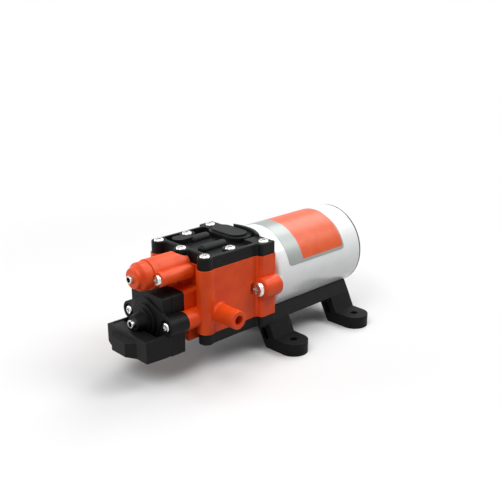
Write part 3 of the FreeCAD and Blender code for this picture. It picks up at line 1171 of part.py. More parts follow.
def switch_plunger():
    foot_x = plunger_foot_x()
    pin_x = micro_rear_x() + BUTTON_PROUD + RUN
    flange_rear = PLUNGER_FLANGE_X + PLUNGER_FLANGE_T
    return joined(rod_x(PLUNGER_FLANGE_R, PLUNGER_FLANGE_X, flange_rear, 0.0, SWITCH_Z),
                  rod_x(PLUNGER_STEM_R, PLUNGER_FLANGE_X, foot_x, 0.0, SWITCH_Z),
                  rod_x(PLUNGER_FOOT_R, foot_x, foot_x + PLUNGER_FOOT_T, 0.0, SWITCH_Z),
                  rod_x(PIN_R, pin_x, PLUNGER_FLANGE_X, 0.0, SWITCH_Z - PIN_DROP))


def micro_rear_x():
    return TRAY_FRONT_X + TRAY_WALL + SLIP + MICRO_DEPTH


def microswitch():
    rear = micro_rear_x()
    z = SWITCH_Z - PIN_DROP
    wall = TRAY_WALL + SLIP
    body = block(rear - MICRO_DEPTH, rear, TRAY_NEAR_Y + wall, TRAY_FAR_Y - wall,
                 TRAY_BOTTOM_Z + TRAY_FLOOR, TRAY_TOP_Z - MICRO_SINK)
    room = block(rear - BUTTON_LENGTH - PLUNGER_TRAVEL, rear + EPS, -BUTTON_HALF - RUN, BUTTON_HALF + RUN,
                 z - BUTTON_HALF - RUN, z + BUTTON_HALF + RUN)
    hub_room = rod_x(HUB_ROOT_R + GAP, HUB_END_X - EPS, rear + EPS, 0.0, SWITCH_Z)
    return without(body, room, hub_room)


def microswitch_button():
    x1 = micro_rear_x() + BUTTON_PROUD
    z = SWITCH_Z - PIN_DROP
    return block(x1 - BUTTON_LENGTH, x1, -BUTTON_HALF, BUTTON_HALF, z - BUTTON_HALF, z + BUTTON_HALF)


def switch_spring():
    start = HUB_BORE_FRONT_X + SPRING_SEAT_T + 2 * RUN
    outer = HUB_BORE_R - 2 * SLIP
    return ring_x(outer, outer - SPRING_WIRE, start, PLUNGER_FLANGE_X - RUN, 0.0, SWITCH_Z)


# Saddle base under the motor and its rubber feet
def base_plate():
    half = [(BASE_TOP_Y, BASE_TOP_Z), (BASE_EDGE_Y, BASE_EDGE_Z),
            (BASE_KEEL_HALF, BASE_EDGE_Z), (BASE_KEEL_HALF, BASE_KEEL_Z)]
    section = half + [(-y, z) for y, z in reversed(half)]
    solid = prism_x(section, BASE_FRONT_X, BASE_REAR_X)
    rails = []
    for x in (-FOOT_X, FOOT_X):
        for side in SIDES:
            for (ya, yb), (z0, z1) in ((RAIL_WEB_Y, (RAIL_LIP_Z[1], BASE_EDGE_Z)), (RAIL_LIP_Y, RAIL_LIP_Z)):
                y0, y1 = sorted((side * ya, side * yb))
                rails.append(block(x - RAIL_HALF_LENGTH, x + RAIL_HALF_LENGTH, y0, y1, z0, z1))
    solid = joined(solid, *rails)
    holes = [rod_z(BASE_SCREW_R + SLIP, BASE_KEEL_Z - EPS, AXIS_Z, x, 0.0) for x in BASE_SCREW_X]
    plateau_half = PLATEAU_HALF_LENGTH - PLATEAU_R
    cover_room = joined(rod_z(BULGE_R + GAP, 0.0, AXIS_Z, BULGE_CENTRE_X, 0.0),
                        stadium_z(PLATEAU_X, PLATEAU_Y, plateau_half, PLATEAU_R + GAP, 0.0, AXIS_Z))
    return without(solid, rod_x(CAN_R, BASE_FRONT_X - EPS, BASE_REAR_X + EPS), cover_room, *holes)


def base_screws():
    shapes = []
    length = CAN_BOTTOM_Z + CAN_WALL - BASE_KEEL_Z - SLIP
    for x in BASE_SCREW_X:
        shapes.append(pan_screw_up(x, 0.0, BASE_KEEL_Z, BASE_SCREW_HEAD_R, BASE_SCREW_HEAD,
                                   BASE_SCREW_R - RUN, length))
    return Part.makeCompound(shapes)


def foot(x, side):
    top = BASE_EDGE_Z
    section = [(FOOT_LEG_INNER_TOP_Y, top), (FOOT_SOLE_Y, 0.0), (FOOT_Y, 0.0), (FOOT_Y, FOOT_FLANGE_T),
               (FOOT_LEG_OUTER_Y, FOOT_FLANGE_T), (BASE_EDGE_Y, top)]
    leg = prism_x(section, x - FOOT_R, x + FOOT_R)
    solid = joined(leg, rod_z(FOOT_R, 0.0, FOOT_FLANGE_T, x, FOOT_Y))
    r = TUNNEL_R
    (ya, za), (yb, zb) = TUNNEL_UPPER, TUNNEL_LOWER
    across = V(0, yb - ya, zb - za).normalize().cross(V(1, 0, 0)) * r
    x0, x1 = x - FOOT_R - EPS, x + FOOT_R + EPS
    waist = prism_x([(ya + across.y, za + across.z), (yb + across.y, zb + across.z),
                     (yb - across.y, zb - across.z), (ya - across.y, za - across.z)], x0, x1)
    tunnel = joined(waist, rod_x(r, x0, x1, ya, za), rod_x(r, x0, x1, yb, zb))
    reach = RAIL_HALF_LENGTH + SLIP
    web = block(x - reach, x + reach, RAIL_WEB_Y[0] - SLIP, RAIL_WEB_Y[1] + SLIP, RAIL_LIP_Z[1], top + EPS)
    lip = block(x - reach, x + reach, RAIL_LIP_Y[0] - SLIP, RAIL_LIP_Y[1] + SLIP,
                RAIL_LIP_Z[0] - SLIP, RAIL_LIP_Z[1] + SLIP)
    hole = rod_z(FOOT_HOLE_R, -EPS, FOOT_FLANGE_T + EPS, x, FOOT_Y)
    solid = without(solid, tunnel, web, lip, hole)
    return mirrored_y(solid) if side < 0 else solid


# Files
TOP_PLATE_Z = TOP_FACE_Z - VALVE_PLATE_T
save("pump_housing", pump_housing())
save("top_cover", top_cover())
save("bottom_cover", bottom_cover())
save("top_valve_plate", valve_plate(TOP_PLATE_Z))
save("bottom_valve_plate", valve_plate(BOTTOM_FACE_Z))
save("top_inlet_valve", check_valve(TOP_PLATE_Z, GALLERY_Y, True))
save("top_outlet_valve", check_valve(TOP_PLATE_Z, -GALLERY_Y, False))
save("bottom_inlet_valve", check_valve(BOTTOM_FACE_Z, GALLERY_Y, False))
save("bottom_outlet_valve", check_valve(BOTTOM_FACE_Z, -GALLERY_Y, True))
save("top_cover_screws", Part.makeCompound([
    pan_screw_down(x, y, TOP_SEAT_Z, COVER_SCREW_HEAD_R, COVER_SCREW_HEAD, COVER_SCREW_R, COVER_SCREW_LENGTH)
    for x, y in SCREW_PLACES]))
save("bottom_cover_screws", Part.makeCompound([
    pan_screw_up(x, y, BOTTOM_SEAT_Z, COVER_SCREW_HEAD_R, COVER_SCREW_HEAD, COVER_SCREW_R, COVER_SCREW_LENGTH)
    for x, y in SCREW_PLACES]))

save("upper_diaphragm", diaphragm(TOP_FACE_Z - DIAPHRAGM_T))
save("lower_diaphragm", diaphragm(BOTTOM_FACE_Z))
LOWER_SHIFT = V(0, 0, BOTTOM_FACE_Z - (2 * AXIS_Z - TOP_FACE_Z))
lower_plate = mirrored_z(piston_plate())
lower_plate.translate(LOWER_SHIFT)
lower_screw = mirrored_z(piston_screw())
lower_screw.translate(LOWER_SHIFT)
save("connecting_yoke", yoke())
save("upper_piston_plate", piston_plate())
save("lower_piston_plate", lower_plate)
save("piston_screws", Part.makeCompound([piston_screw(), lower_screw]))
save("drive_bearing_outer", bearing_ring(BEARING_R, BEARING_R - RING_T))
save("drive_bearing_inner", bearing_ring(BEARING_BORE_R + RING_T, BEARING_BORE_R))
save("drive_bearing_balls", bearing_balls())
save("eccentric", eccentric())
save("eccentric_set_screw", eccentric_set_screw())

save("motor_shaft", rod_x(SHAFT_R, SHAFT_FRONT_X, SHAFT_REAR_X))
save("motor_can", motor_can())
save("motor_end_cap", motor_end_cap())
save("motor_front_plate", motor_front_plate())
save("motor_bushes", motor_bushes())
save("magnets", magnets())
save("armature_core", armature_core())
save("armature_windings", armature_windings())
save("commutator", commutator())
save("near_brush", brush(-1))
save("far_brush", brush(1))
save("brush_springs", brush_springs())
save("lead_grommet", lead_grommet())
save("rating_label", rating_label())
motor_screw_length = MOTOR_EAR_REAR_X - MOTOR_SCREW_SEAT_X
save("motor_mount_screws", Part.makeCompound([
    pan_screw_back(MOTOR_SCREW_SEAT_X, side * MOTOR_SCREW_Y, AXIS_Z, MOTOR_SCREW_HEAD_R, MOTOR_SCREW_HEAD,
                   MOTOR_SCREW_R, motor_screw_length) for side in SIDES]))

save("bypass_cap", bypass_cap())
save("bypass_cap_screws", Part.makeCompound([
    pan_screw_back(CAP_EAR_FRONT_X, side * EAR_Y, EAR_Z, COVER_SCREW_HEAD_R, COVER_SCREW_HEAD, COVER_SCREW_R,
                   CAP_SCREW_LENGTH) for side in SIDES]))
save("bypass_adjuster", set_screw(ADJUSTER_R, ADJUSTER_TIP_X, bypass_spring_seat_x() - RUN, BYPASS_Z))
seat_x = bypass_spring_seat_x()
save("bypass_spring_seat", rod_x(SPRING_SEAT_R, seat_x, seat_x + SPRING_SEAT_T, 0.0, BYPASS_Z))
save("bypass_spring", bypass_spring())
save("bypass_poppet", bypass_poppet())
save("bypass_seal", bypass_seal())

save("switch_body", switch_body())
save("switch_cover", switch_cover())
save("switch_screws", Part.makeCompound([
    pan_screw_back(LUG_FRONT_X + LUG_SINK, side * LUG_Y, SWITCH_Z, LUG_SCREW_HEAD_R, LUG_SCREW_HEAD,
                   COVER_SCREW_R, LUG_SCREW_LENGTH) for side in SIDES]))
save("switch_adjuster", set_screw(SWITCH_ADJUSTER_R, SWITCH_SCREW_TIP_X, HUB_BORE_FRONT_X, SWITCH_Z))
seat_x = HUB_BORE_FRONT_X + RUN
save("switch_spring_seat", rod_x(HUB_BORE_R - 2 * SLIP, seat_x, seat_x + SPRING_SEAT_T, 0.0, SWITCH_Z))
save("switch_spring", switch_spring())
save("switch_plunger", switch_plunger())
save("switch_diaphragm", rod_x(SWITCH_DIAPHRAGM_R, SWITCH_REAR_X - SWITCH_DIAPHRAGM_T, SWITCH_REAR_X,
                               0.0, SWITCH_Z))
save("microswitch", microswitch())
save("microswitch_button", microswitch_button())

save("base_plate", base_plate())
save("base_screws", base_screws())
for end, x in (("front", -FOOT_X), ("rear", FOOT_X)):
    for place, side in (("near", -1), ("far", 1)):
        save("foot_%s_%s" % (end, place), foot(x, side))
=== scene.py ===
import math

import bmesh
import bpy
from mathutils import Matrix, Vector


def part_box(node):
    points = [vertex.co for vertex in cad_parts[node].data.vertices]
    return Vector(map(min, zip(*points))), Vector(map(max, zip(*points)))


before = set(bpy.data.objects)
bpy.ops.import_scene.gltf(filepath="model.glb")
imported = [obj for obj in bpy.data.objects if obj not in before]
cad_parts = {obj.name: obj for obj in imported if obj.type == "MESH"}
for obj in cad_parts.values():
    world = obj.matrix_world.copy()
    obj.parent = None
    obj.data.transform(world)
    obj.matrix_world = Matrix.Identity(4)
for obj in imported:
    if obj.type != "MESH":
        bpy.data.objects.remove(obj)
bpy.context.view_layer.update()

# Pump housing, with the cap of the bypass valve. The real pieces are injection moulded in orange
# glass-filled nylon: a satin skin with a faint spark-eroded grain, slightly uneven in colour where
# the glass lies near the surface. Everything on the head is screwed to this one moulding.
MM = 0.001
ORANGE = "#E9500F"
ORANGE_DEEP = "#DE440A"
MOULDED_EDGE_MM = 0.45        # radius that the mould leaves on an outside edge
CLOUD_STOPS = (0.35, 0.65)    # where a cloud reaches its deep and its light shade
CLOUD_DETAIL = 3.0
GRAIN_DETAIL = 2.0
EDGE_SAMPLES = 6


def linear(hex_colour):
    """Linear RGBA of an sRGB colour written as hex."""
    channels = [int(hex_colour[i:i + 2], 16) / 255 for i in (1, 3, 5)]
    return [c / 12.92 if c <= 0.04045 else ((c + 0.055) / 1.055) ** 2.4 for c in channels] + [1.0]


def add_node(material, kind, sockets, **settings):
    """Adds a shader node; a socket given another node's output is linked, any other value is set."""
    tree = material.node_tree
    node = tree.nodes.new("ShaderNode" + kind)
    for name, value in settings.items():
        setattr(node, name, value)
    for name, value in sockets.items():
        if isinstance(value, bpy.types.NodeSocket):
            tree.links.new(value, node.inputs[name])
        else:
            node.inputs[name].default_value = value
    return node


def new_material(name):
    """Empty node material."""
    material = bpy.data.materials.new(name)
    material.use_nodes = True
    material.node_tree.nodes.clear()
    return material


def paint(material, *node_names):
    """Gives one finish to CAD nodes that are shown as they are."""
    for name in node_names:
        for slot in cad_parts[name].material_slots:
            slot.material = material


def clouded(material, place, deep, light, cloud_mm):
    """Colour that wanders between two near shades in clouds of the size given."""
    clouds = add_node(material, "TexNoise", {"Vector": place, "Scale": 1 / (cloud_mm * MM),
                                             "Detail": CLOUD_DETAIL})
    tint = add_node(material, "ValToRGB", {"Fac": clouds.outputs["Fac"]})
    for stop, position, colour in zip(tint.color_ramp.elements, CLOUD_STOPS, (deep, light)):
        stop.position = position
        stop.color = linear(colour)
    return tint.outputs["Color"]


def grained(material, place, grain_mm, height_mm, rough, edge_mm):
    """Roughness and normal of a grained skin whose outside edges are softened."""
    grain = add_node(material, "TexNoise", {"Vector": place, "Scale": 1 / (grain_mm * MM),
                                            "Detail": GRAIN_DETAIL})
    shine = add_node(material, "MapRange", {"Value": grain.outputs["Fac"],
                                            "To Min": rough[0], "To Max": rough[1]})
    edge = add_node(material, "Bevel", {"Radius": edge_mm * MM}, samples=EDGE_SAMPLES)
    bump = add_node(material, "Bump", {"Height": grain.outputs["Fac"], "Normal": edge.outputs["Normal"],
                                       "Distance": height_mm * MM})
    return shine.outputs["Result"], bump.outputs["Normal"]


def skin_material(name, colours, cloud_mm, grain_mm, height_mm, rough, edge_mm, **shader):
    """Clouded and grained surface; further values go to the sockets of the shader."""
    material = new_material(name)
    place = add_node(material, "TexCoord", {}).outputs["Object"]
    roughness, normal = grained(material, place, grain_mm, height_mm, rough, edge_mm)
    sockets = {"Base Color": clouded(material, place, *colours, cloud_mm), "Roughness": roughness,
               "Normal": normal}
    sockets.update({key.replace("_", " "): value for key, value in shader.items()})
    skin = add_node(material, "BsdfPrincipled", sockets)
    add_node(material, "OutputMaterial", {"Surface": skin.outputs["BSDF"]})
    return material


orange_nylon = skin_material("orange_glass_filled_nylon", (ORANGE_DEEP, ORANGE), cloud_mm=9,
                             grain_mm=0.35, height_mm=0.012, rough=(0.36, 0.5),
                             edge_mm=MOULDED_EDGE_MM, IOR=1.5, Specular_IOR_Level=0.3)
paint(orange_nylon, "pump_housing", "bypass_cap")

# Upper and lower head covers, the two halves of the pressure switch, the saddle base and the rear
# cap of the motor. All are moulded in black glass-filled nylon, with a coarser grain than the
# housing, and held by the screws that come further down.
BLACK = "#0E0F10"
BLACK_DEEP = "#08090A"

black_nylon = skin_material("black_glass_filled_nylon", (BLACK_DEEP, BLACK), cloud_mm=7,
                            grain_mm=0.45, height_mm=0.03, rough=(0.42, 0.58),
                            edge_mm=MOULDED_EDGE_MM, IOR=1.5, Specular_IOR_Level=0.15)
paint(black_nylon, "top_cover", "bottom_cover", "switch_body", "switch_cover", "base_plate",
      "motor_end_cap")

# Motor can. A deep-drawn steel tube, powder coated white and stoved, which gives a clear gloss over
# a faint orange peel.
white_coat = skin_material("white_powder_coat", ("#EDEEEF", "#F3F4F5"), cloud_mm=14,
                           grain_mm=1.1, height_mm=0.008, rough=(0.24, 0.34), edge_mm=0.3,
                           IOR=1.5, Coat_Weight=0.7, Coat_Roughness=0.12)
paint(white_coat, "motor_can")

# Rating label. Silver polyester film, cut with round corners and wrapped over the can; an orange
# field is printed on it, set in from the edge and with a wide silver strip left free at the front.
LABEL_FIELD_X = (-10.0, 26.6)     # along the motor
LABEL_FIELD_HALF_ARC = 33.2       # from the top line of the can, along its skin
LABEL_FIELD_CORNER = 1.6
LABEL_RADIUS = 26.28
MOTOR_AXIS_Z = 42.5
PRINT_ORANGE = "#E2591E"
PRINT_ORANGE_DEEP = "#DB5118"
FILM_SILVER = "#9BA19E"
FILM_METAL = 0.3                  # of the bare film
FILM_ROUGH = (0.32, 0.44)
INK_EDGE = 0.04                   # soft rim of the printed ink
INK_CLOUD_MM = 6
STREAK_MM = 1.5
ORIGIN = (0.0, 0.0, 0.0)

label_film = new_material("printed_silver_polyester_film")
place = add_node(label_film, "TexCoord", {}).outputs["Object"]
from_axis = add_node(label_film, "VectorMath", {0: place, 1: (0.0, 0.0, MOTOR_AXIS_Z * MM)},
                     operation="SUBTRACT")
axes = add_node(label_film, "SeparateXYZ", {"Vector": from_axis.outputs["Vector"]})
turn = add_node(label_film, "Math", {0: axes.outputs["Y"], 1: axes.outputs["Z"]}, operation="ARCTAN2")
arc = add_node(label_film, "Math", {0: turn.outputs[0], 1: LABEL_RADIUS * MM}, operation="MULTIPLY")
spot = add_node(label_film, "CombineXYZ", {"X": axes.outputs["X"], "Y": arc.outputs[0]})
field_middle = (sum(LABEL_FIELD_X) / 2 * MM, 0.0, 0.0)
field_half = ((LABEL_FIELD_X[1] - LABEL_FIELD_X[0]) / 2, LABEL_FIELD_HALF_ARC)
field_square = (*((half - LABEL_FIELD_CORNER) * MM for half in field_half), 0.0)
for step, value in (("SUBTRACT", field_middle), ("ABSOLUTE", ORIGIN), ("SUBTRACT", field_square),
                    ("MAXIMUM", ORIGIN)):
    spot = add_node(label_film, "VectorMath", {0: spot.outputs["Vector"], 1: value}, operation=step)
reach = add_node(label_film, "VectorMath", {0: spot.outputs["Vector"]}, operation="LENGTH")
bare = add_node(label_film, "MapRange", {"Value": reach.outputs["Value"],
                                         "From Min": (LABEL_FIELD_CORNER - INK_EDGE) * MM,
                                         "From Max": (LABEL_FIELD_CORNER + INK_EDGE) * MM})
ink = clouded(label_film, place, PRINT_ORANGE_DEEP, PRINT_ORANGE, INK_CLOUD_MM)
film_colour = add_node(label_film, "Mix", {"Factor": bare.outputs["Result"], "A": ink,
                                           "B": linear(FILM_SILVER)}, data_type="RGBA")
metal = add_node(label_film, "Math", {0: bare.outputs["Result"], 1: FILM_METAL}, operation="MULTIPLY")
streaks = add_node(label_film, "TexNoise", {"Vector": place, "Scale": 1 / (STREAK_MM * MM),
                                            "Detail": GRAIN_DETAIL})
shine = add_node(label_film, "MapRange", {"Value": streaks.outputs["Fac"],
                                          "To Min": FILM_ROUGH[0], "To Max": FILM_ROUGH[1]})
skin = add_node(label_film, "BsdfPrincipled", {"Base Color": film_colour.outputs["Result"],
                                               "Metallic": metal.outputs[0],
                                               "Roughness": shine.outputs["Result"]})
add_node(label_film, "OutputMaterial", {"Surface": skin.outputs["BSDF"]})
paint(label_film, "rating_label")

# Screws. Zinc-plated steel, cold headed and bright; the plating is a little cloudy. They hold the
# covers, the bypass cap, the switch, the motor and the base.
ZINC = "#DEDEDB"
ZINC_CLOUD = "#CFCFCC"
ZINC_CLOUD_MM = 0.8
ZINC_SKIN = {"grain_mm": 0.25, "height_mm": 0.004, "rough": (0.18, 0.3), "edge_mm": 0.2}

zinc_plate = skin_material("bright_zinc_plated_steel", (ZINC_CLOUD, ZINC), cloud_mm=ZINC_CLOUD_MM,
                           **ZINC_SKIN, Metallic=1.0)
paint(zinc_plate, "top_cover_screws", "bottom_cover_screws", "motor_mount_screws", "bypass_cap_screws",
      "switch_screws", "base_screws")

# The two adjusting screws. Turned from the same plated steel; the inside of their hexagon sockets is
# painted black as shade, so the end looks dark inside a bright ring.
SOCKET_SHARE = 0.72       # of the radius of the screw
SOCKET_SHADE_EDGE_MM = 0.1
SOCKET_PAINTED_SHADE = "#070707"

for name in ("bypass_adjuster", "switch_adjuster"):
    low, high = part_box(name)
    axis_y, axis_z = (low[1] + high[1]) / 2, (low[2] + high[2]) / 2
    socket_radius = (high[2] - low[2]) / 2 * SOCKET_SHARE
    socket_shaded = new_material("painted_socket_shade_of_" + name)
    place = add_node(socket_shaded, "TexCoord", {}).outputs["Object"]
    flat = add_node(socket_shaded, "VectorMath", {0: place, 1: (0.0, 1.0, 1.0)}, operation="MULTIPLY")
    off_axis = add_node(socket_shaded, "VectorMath", {0: flat.outputs["Vector"], 1: (0.0, axis_y, axis_z)},
                        operation="DISTANCE")
    # Painted shade: inside the socket radius the end is coloured black and made non-metallic, standing
    # in for the shade of the recess.
    outside_socket = add_node(socket_shaded, "MapRange", {"Value": off_axis.outputs["Value"],
                                           "From Min": socket_radius - SOCKET_SHADE_EDGE_MM * MM,
                                           "From Max": socket_radius})
    roughness, normal = grained(socket_shaded, place, **ZINC_SKIN)
    plating = clouded(socket_shaded, place, ZINC_CLOUD, ZINC, ZINC_CLOUD_MM)
    colour = add_node(socket_shaded, "Mix", {"Factor": outside_socket.outputs["Result"], "A": linear(SOCKET_PAINTED_SHADE),
                                       "B": plating}, data_type="RGBA")
    skin = add_node(socket_shaded, "BsdfPrincipled", {"Base Color": colour.outputs["Result"],
                                                "Roughness": roughness,
                                                "Metallic": outside_socket.outputs["Result"],
                                                "Normal": normal})
    add_node(socket_shaded, "OutputMaterial", {"Surface": skin.outputs["BSDF"]})
    paint(socket_shaded, name)

# Feet and lead grommet. Moulded in black rubber of about 60 Shore, matt and with softer edges than
# the hard mouldings.
foot_rubber = skin_material("black_foot_rubber", ("#0B0B0B", "#101010"), cloud_mm=5, grain_mm=0.5,
                            height_mm=0.02, rough=(0.55, 0.75), edge_mm=0.6, IOR=1.48,
                            Specular_IOR_Level=0.15)
paint(foot_rubber, "foot_front_near", "foot_front_far", "foot_rear_near", "foot_rear_far",
      "lead_grommet")

# Soft working parts: diaphragms, the four umbrella valves, the bypass poppet with its seal ring and
# the diaphragm of the switch. Pressed from black ethylene-propylene rubber, with a smooth skin.
smooth_rubber = skin_material("black_ethylene_propylene_rubber", ("#1A1B1C", "#222324"), cloud_mm=4,
                              grain_mm=0.3, height_mm=0.006, rough=(0.4, 0.52), edge_mm=0.15,
                              IOR=1.48)
paint(smooth_rubber, "upper_diaphragm", "lower_diaphragm", "top_inlet_valve", "top_outlet_valve",
      "bottom_inlet_valve", "bottom_outlet_valve", "bypass_poppet", "bypass_seal", "switch_diaphragm")

# Valve plates, switch plunger and the button of the microswitch. Moulded in undyed acetal: creamy
# white, smooth and slightly translucent.
acetal = skin_material("natural_acetal", ("#E3E0D4", "#EBE8DD"), cloud_mm=3, grain_mm=0.3,
                       height_mm=0.004, rough=(0.3, 0.42), edge_mm=0.12, IOR=1.48,
                       Subsurface_Weight=0.15, Subsurface_Scale=0.0008)
paint(acetal, "top_valve_plate", "bottom_valve_plate", "switch_plunger", "microswitch_button")

# Body of the microswitch. Black polyester, moulded thin, with a finer grain than the nylon and a
# little glossier.
switch_polyester = skin_material("black_polyester", ("#0B0C0D", "#111213"), cloud_mm=4, grain_mm=0.3,
                                 height_mm=0.012, rough=(0.38, 0.5), edge_mm=0.15, IOR=1.55,
                                 Specular_IOR_Level=0.15)
paint(switch_polyester, "microswitch")

# Front plate of the motor and the yoke. Die-cast aluminium with the grey, slightly mottled skin of
# a blasted casting.
die_cast = skin_material("die_cast_aluminium", ("#A6A7A9", "#B6B7B9"), cloud_mm=3, grain_mm=0.3,
                         height_mm=0.02, rough=(0.38, 0.55), edge_mm=0.3, Metallic=1.0)
paint(die_cast, "motor_front_plate", "connecting_yoke")

# Ground steel of the shaft, the ball bearing, the clamp plates and the spring seats: bright, with
# fine grinding marks that show only as uneven gloss.
ground_steel = skin_material("ground_steel", ("#AEAFB0", "#BDBEBF"), cloud_mm=1.2, grain_mm=0.12,
                             height_mm=0.002, rough=(0.14, 0.26), edge_mm=0.12, Metallic=1.0)
paint(ground_steel, "motor_shaft", "drive_bearing_outer", "drive_bearing_inner", "drive_bearing_balls",
      "upper_piston_plate", "lower_piston_plate", "piston_screws", "bypass_spring_seat",
      "switch_spring_seat")

# Eccentric. Pressed and sintered from steel powder, then oiled: dark grey, with fine open pores. Its
# grub screw is blackened steel.
sintered_steel = skin_material("oiled_sintered_steel", ("#5E5F60", "#747576"), cloud_mm=0.6,
                               grain_mm=0.15, height_mm=0.012, rough=(0.4, 0.6), edge_mm=0.15,
                               Metallic=1.0)
black_oxide = skin_material("black_oxide_steel", ("#1D1E20", "#28292B"), cloud_mm=0.9, grain_mm=0.15,
                            height_mm=0.004, rough=(0.34, 0.46), edge_mm=0.1, Metallic=0.7)
paint(sintered_steel, "eccentric")
paint(black_oxide, "eccentric_set_screw")

# Armature and commutator. The core is a stack of 0.5 mm electrical sheets, the windings are
# enamelled copper wire, and the commutator is turned copper with fine marks from the brushes.
WAVE_RATE = 10    # half the radians that the wave texture turns over one unit, at a scale of 1


def banded_material(name, colours, cloud_mm, pitch_mm, depth_mm, rough, direction, **shader):
    """Surface crossed by fine bands, such as sheets in a stack or turns of wire, about a pitch apart."""
    material = new_material(name)
    place = add_node(material, "TexCoord", {}).outputs["Object"]
    bands = add_node(material, "TexWave", {"Vector": place, "Distortion": 0.0,
                                           "Scale": math.pi / (WAVE_RATE * pitch_mm * MM)},
                     wave_type="BANDS", bands_direction=direction)
    shine = add_node(material, "MapRange", {"Value": bands.outputs["Fac"],
                                            "To Min": rough[1], "To Max": rough[0]})
    bump = add_node(material, "Bump", {"Height": bands.outputs["Fac"], "Distance": depth_mm * MM})
    sockets = {"Base Color": clouded(material, place, *colours, cloud_mm),
               "Roughness": shine.outputs["Result"], "Normal": bump.outputs["Normal"]}
    sockets.update({key.replace("_", " "): value for key, value in shader.items()})
    skin = add_node(material, "BsdfPrincipled", sockets)
    add_node(material, "OutputMaterial", {"Surface": skin.outputs["BSDF"]})
    return material


lamination = banded_material("electrical_sheet_stack", ("#6F7072", "#808183"), cloud_mm=2,
                             pitch_mm=0.5, depth_mm=0.06, rough=(0.3, 0.5), direction="X",
                             Metallic=1.0)
enamelled_wire = banded_material("enamelled_copper_wire", ("#A8511F", "#BE6428"), cloud_mm=2,
                                 pitch_mm=0.45, depth_mm=0.12, rough=(0.2, 0.35),
                                 direction="DIAGONAL", Metallic=0.85, Coat_Weight=0.5,
                                 Coat_Roughness=0.1)
turned_copper = banded_material("turned_copper", ("#B4683C", "#C67A4A"), cloud_mm=1, pitch_mm=0.12,
                                depth_mm=0.01, rough=(0.2, 0.34), direction="X", Metallic=1.0)
paint(lamination, "armature_core")
paint(enamelled_wire, "armature_windings")
paint(turned_copper, "commutator")

# Springs behind the brushes, in the bypass valve and in the switch. Hidden in their bores and shown
# as sleeves of spring steel; the bands stand for turns of wire, 1.2 mm apart.
for name, direction in (("brush_springs", "Y"), ("bypass_spring", "X"), ("switch_spring", "X")):
    coil = banded_material("spring_steel_wire_of_" + name, ("#9D9EA0", "#AEAFB1"), cloud_mm=1,
                           pitch_mm=1.2, depth_mm=0.35, rough=(0.18, 0.3), direction=direction,
                           Metallic=1.0)
    paint(coil, name)

# Bushes, magnets and brushes of the motor: oil-soaked sintered bronze, hard ferrite with a fine
# sintered grain, and pressed carbon with a matt, slightly streaky face.
bronze = skin_material("oiled_sintered_bronze", ("#A5793B", "#B88A48"), cloud_mm=0.6, grain_mm=0.15,
                       height_mm=0.01, rough=(0.32, 0.48), edge_mm=0.15, Metallic=1.0)
ferrite = skin_material("hard_ferrite", ("#2B2C2E", "#343537"), cloud_mm=2, grain_mm=0.2,
                        height_mm=0.01, rough=(0.5, 0.68), edge_mm=0.2, IOR=2.0)
carbon = skin_material("pressed_carbon", ("#1F1F20", "#2C2C2D"), cloud_mm=0.8, grain_mm=0.12,
                       height_mm=0.006, rough=(0.42, 0.6), edge_mm=0.1, IOR=1.8)
paint(bronze, "motor_bushes")
paint(ferrite, "magnets")
paint(carbon, "near_brush", "far_brush")

# Floor and backdrop. A matt white table under a white sky. The camera and clear reflections see it
# fade to the white of the sky away from the pump; soft light bounces off a plain, greyer table.
# From below it is clear, so that the underside of the pump can be looked at.
FLOOR_HALF = 3.0
FADE_M = (0.12, 0.36)
FADE_CENTRE = (-0.03, 0.0, 0.0)
TABLE_LIT = "#ECECEC"
TABLE_BOUNCE = "#AEAEAE"
WHITE = "#FFFFFF"

floor_mesh = bmesh.new()
bmesh.ops.create_grid(floor_mesh, x_segments=1, y_segments=1, size=FLOOR_HALF)
floor_data = bpy.data.meshes.new("floor")
floor_mesh.to_mesh(floor_data)
floor_mesh.free()
floor = bpy.data.objects.new("floor", floor_data)
bpy.context.scene.collection.objects.link(floor)
table_white = new_material("matt_white_table")
place = add_node(table_white, "TexCoord", {}).outputs["Object"]
away = add_node(table_white, "VectorMath", {0: place, 1: FADE_CENTRE}, operation="DISTANCE")
fade = add_node(table_white, "MapRange", {"Value": away.outputs["Value"],
                                          "From Min": FADE_M[0], "From Max": FADE_M[1]},
                interpolation_type="SMOOTHSTEP")


def sees_background(material):
    """1 for rays of the camera and for those that a skin reflects or lets through, otherwise 0."""
    rays = add_node(material, "LightPath", {})
    seen = rays.outputs["Is Camera Ray"]
    for kind in ("Is Glossy Ray", "Is Transmission Ray"):
        either = add_node(material, "Math", {0: seen, 1: rays.outputs[kind]}, operation="MAXIMUM")
        seen = either.outputs[0]
    return seen


lit = add_node(table_white, "BsdfDiffuse", {"Color": linear(TABLE_LIT)})
bounce = add_node(table_white, "BsdfDiffuse", {"Color": linear(TABLE_BOUNCE)})
white = add_node(table_white, "Emission", {"Color": linear(WHITE), "Strength": 1.0})
shown = add_node(table_white, "MixShader", {0: fade.outputs["Result"], 1: lit.outputs[0],
                                            2: white.outputs[0]})
table_top = add_node(table_white, "MixShader", {0: sees_background(table_white), 1: bounce.outputs[0],
                                                2: shown.outputs[0]})
side = add_node(table_white, "NewGeometry", {}).outputs["Backfacing"]
clear = add_node(table_white, "BsdfTransparent", {})
one_sided = add_node(table_white, "MixShader", {0: side, 1: table_top.outputs[0], 2: clear.outputs[0]})
add_node(table_white, "OutputMaterial", {"Surface": one_sided.outputs[0]})
floor_data.materials.append(table_white)

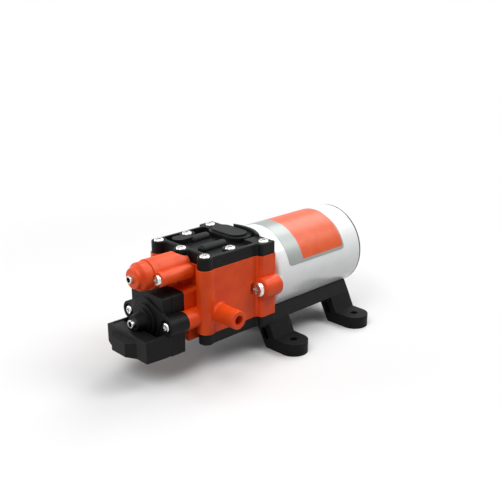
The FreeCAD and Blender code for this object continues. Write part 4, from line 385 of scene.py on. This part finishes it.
# Light. A white sky that the camera and clear reflections see at full strength, though it lights
# the pump only weakly, and five soft boxes of one size: one overhead for the bright tops, and four
# around the pump for its walls and the soft shadow under it.
SKY_LIGHT = 0.12
LAMP_SIZE = 0.45
LAMPS = (("overhead_box", (-0.03, 0.03, 0.94), 1.5),
         ("right_box", (0.54, 0.16, 0.71), 3.0),
         ("near_right_box", (0.40, -0.43, 0.71), 3.9),
         ("front_box", (-0.61, -0.16, 0.71), 3.3),
         ("far_left_box", (-0.58, 0.66, 0.32), 3.2))
LIT_POINT = Vector((-0.03, 0.0, 0.04))

world = bpy.data.worlds.new("white_sky")
bpy.context.scene.world = world
world.use_nodes = True
world.node_tree.nodes.clear()
sky_light = add_node(world, "Background", {"Color": linear(WHITE), "Strength": SKY_LIGHT})
sky_seen = add_node(world, "Background", {"Color": linear(WHITE), "Strength": 1.0})
sky = add_node(world, "MixShader", {0: sees_background(world), 1: sky_light.outputs[0],
                                    2: sky_seen.outputs[0]})
add_node(world, "OutputWorld", {"Surface": sky.outputs[0]})
for name, position, watts in LAMPS:
    lamp = bpy.data.lights.new(name, "AREA")
    lamp.size = LAMP_SIZE
    lamp.energy = watts
    lamp_object = bpy.data.objects.new(name, lamp)
    lamp_object.location = position
    lamp_object.rotation_euler = (LIT_POINT - Vector(position)).to_track_quat("-Z", "Y").to_euler()
    bpy.context.scene.collection.objects.link(lamp_object)

# Camera. Its place, turn, lens and shift are those of the photo, found by a fit: from the front near
# side and above the pump, with a slightly long lens.
CAMERA_AT = Vector((-334.5, -316.8, 204.5)) * MM
LOOK_AZIMUTH = math.radians(-42.89)
LOOK_ELEVATION = math.radians(18.95)
ROLL = math.radians(-0.36)

camera_data = bpy.data.cameras.new("camera")
camera_data.sensor_width = 36.0
camera_data.lens = 55.73
camera_data.shift_x = 0.0253
camera_data.shift_y = 0.0033
camera = bpy.data.objects.new("camera", camera_data)
back = Vector((math.sin(LOOK_AZIMUTH) * math.cos(LOOK_ELEVATION),
               -math.cos(LOOK_AZIMUTH) * math.cos(LOOK_ELEVATION), math.sin(LOOK_ELEVATION)))
roll_turn = Matrix.Rotation(ROLL, 3, "Z").to_quaternion()
camera.rotation_mode = "QUATERNION"
camera.rotation_quaternion = (-back).to_track_quat("-Z", "Y") @ roll_turn
camera.location = CAMERA_AT
bpy.context.scene.collection.objects.link(camera)
bpy.context.scene.camera = camera
bpy.context.scene.view_settings.view_transform = "Standard"
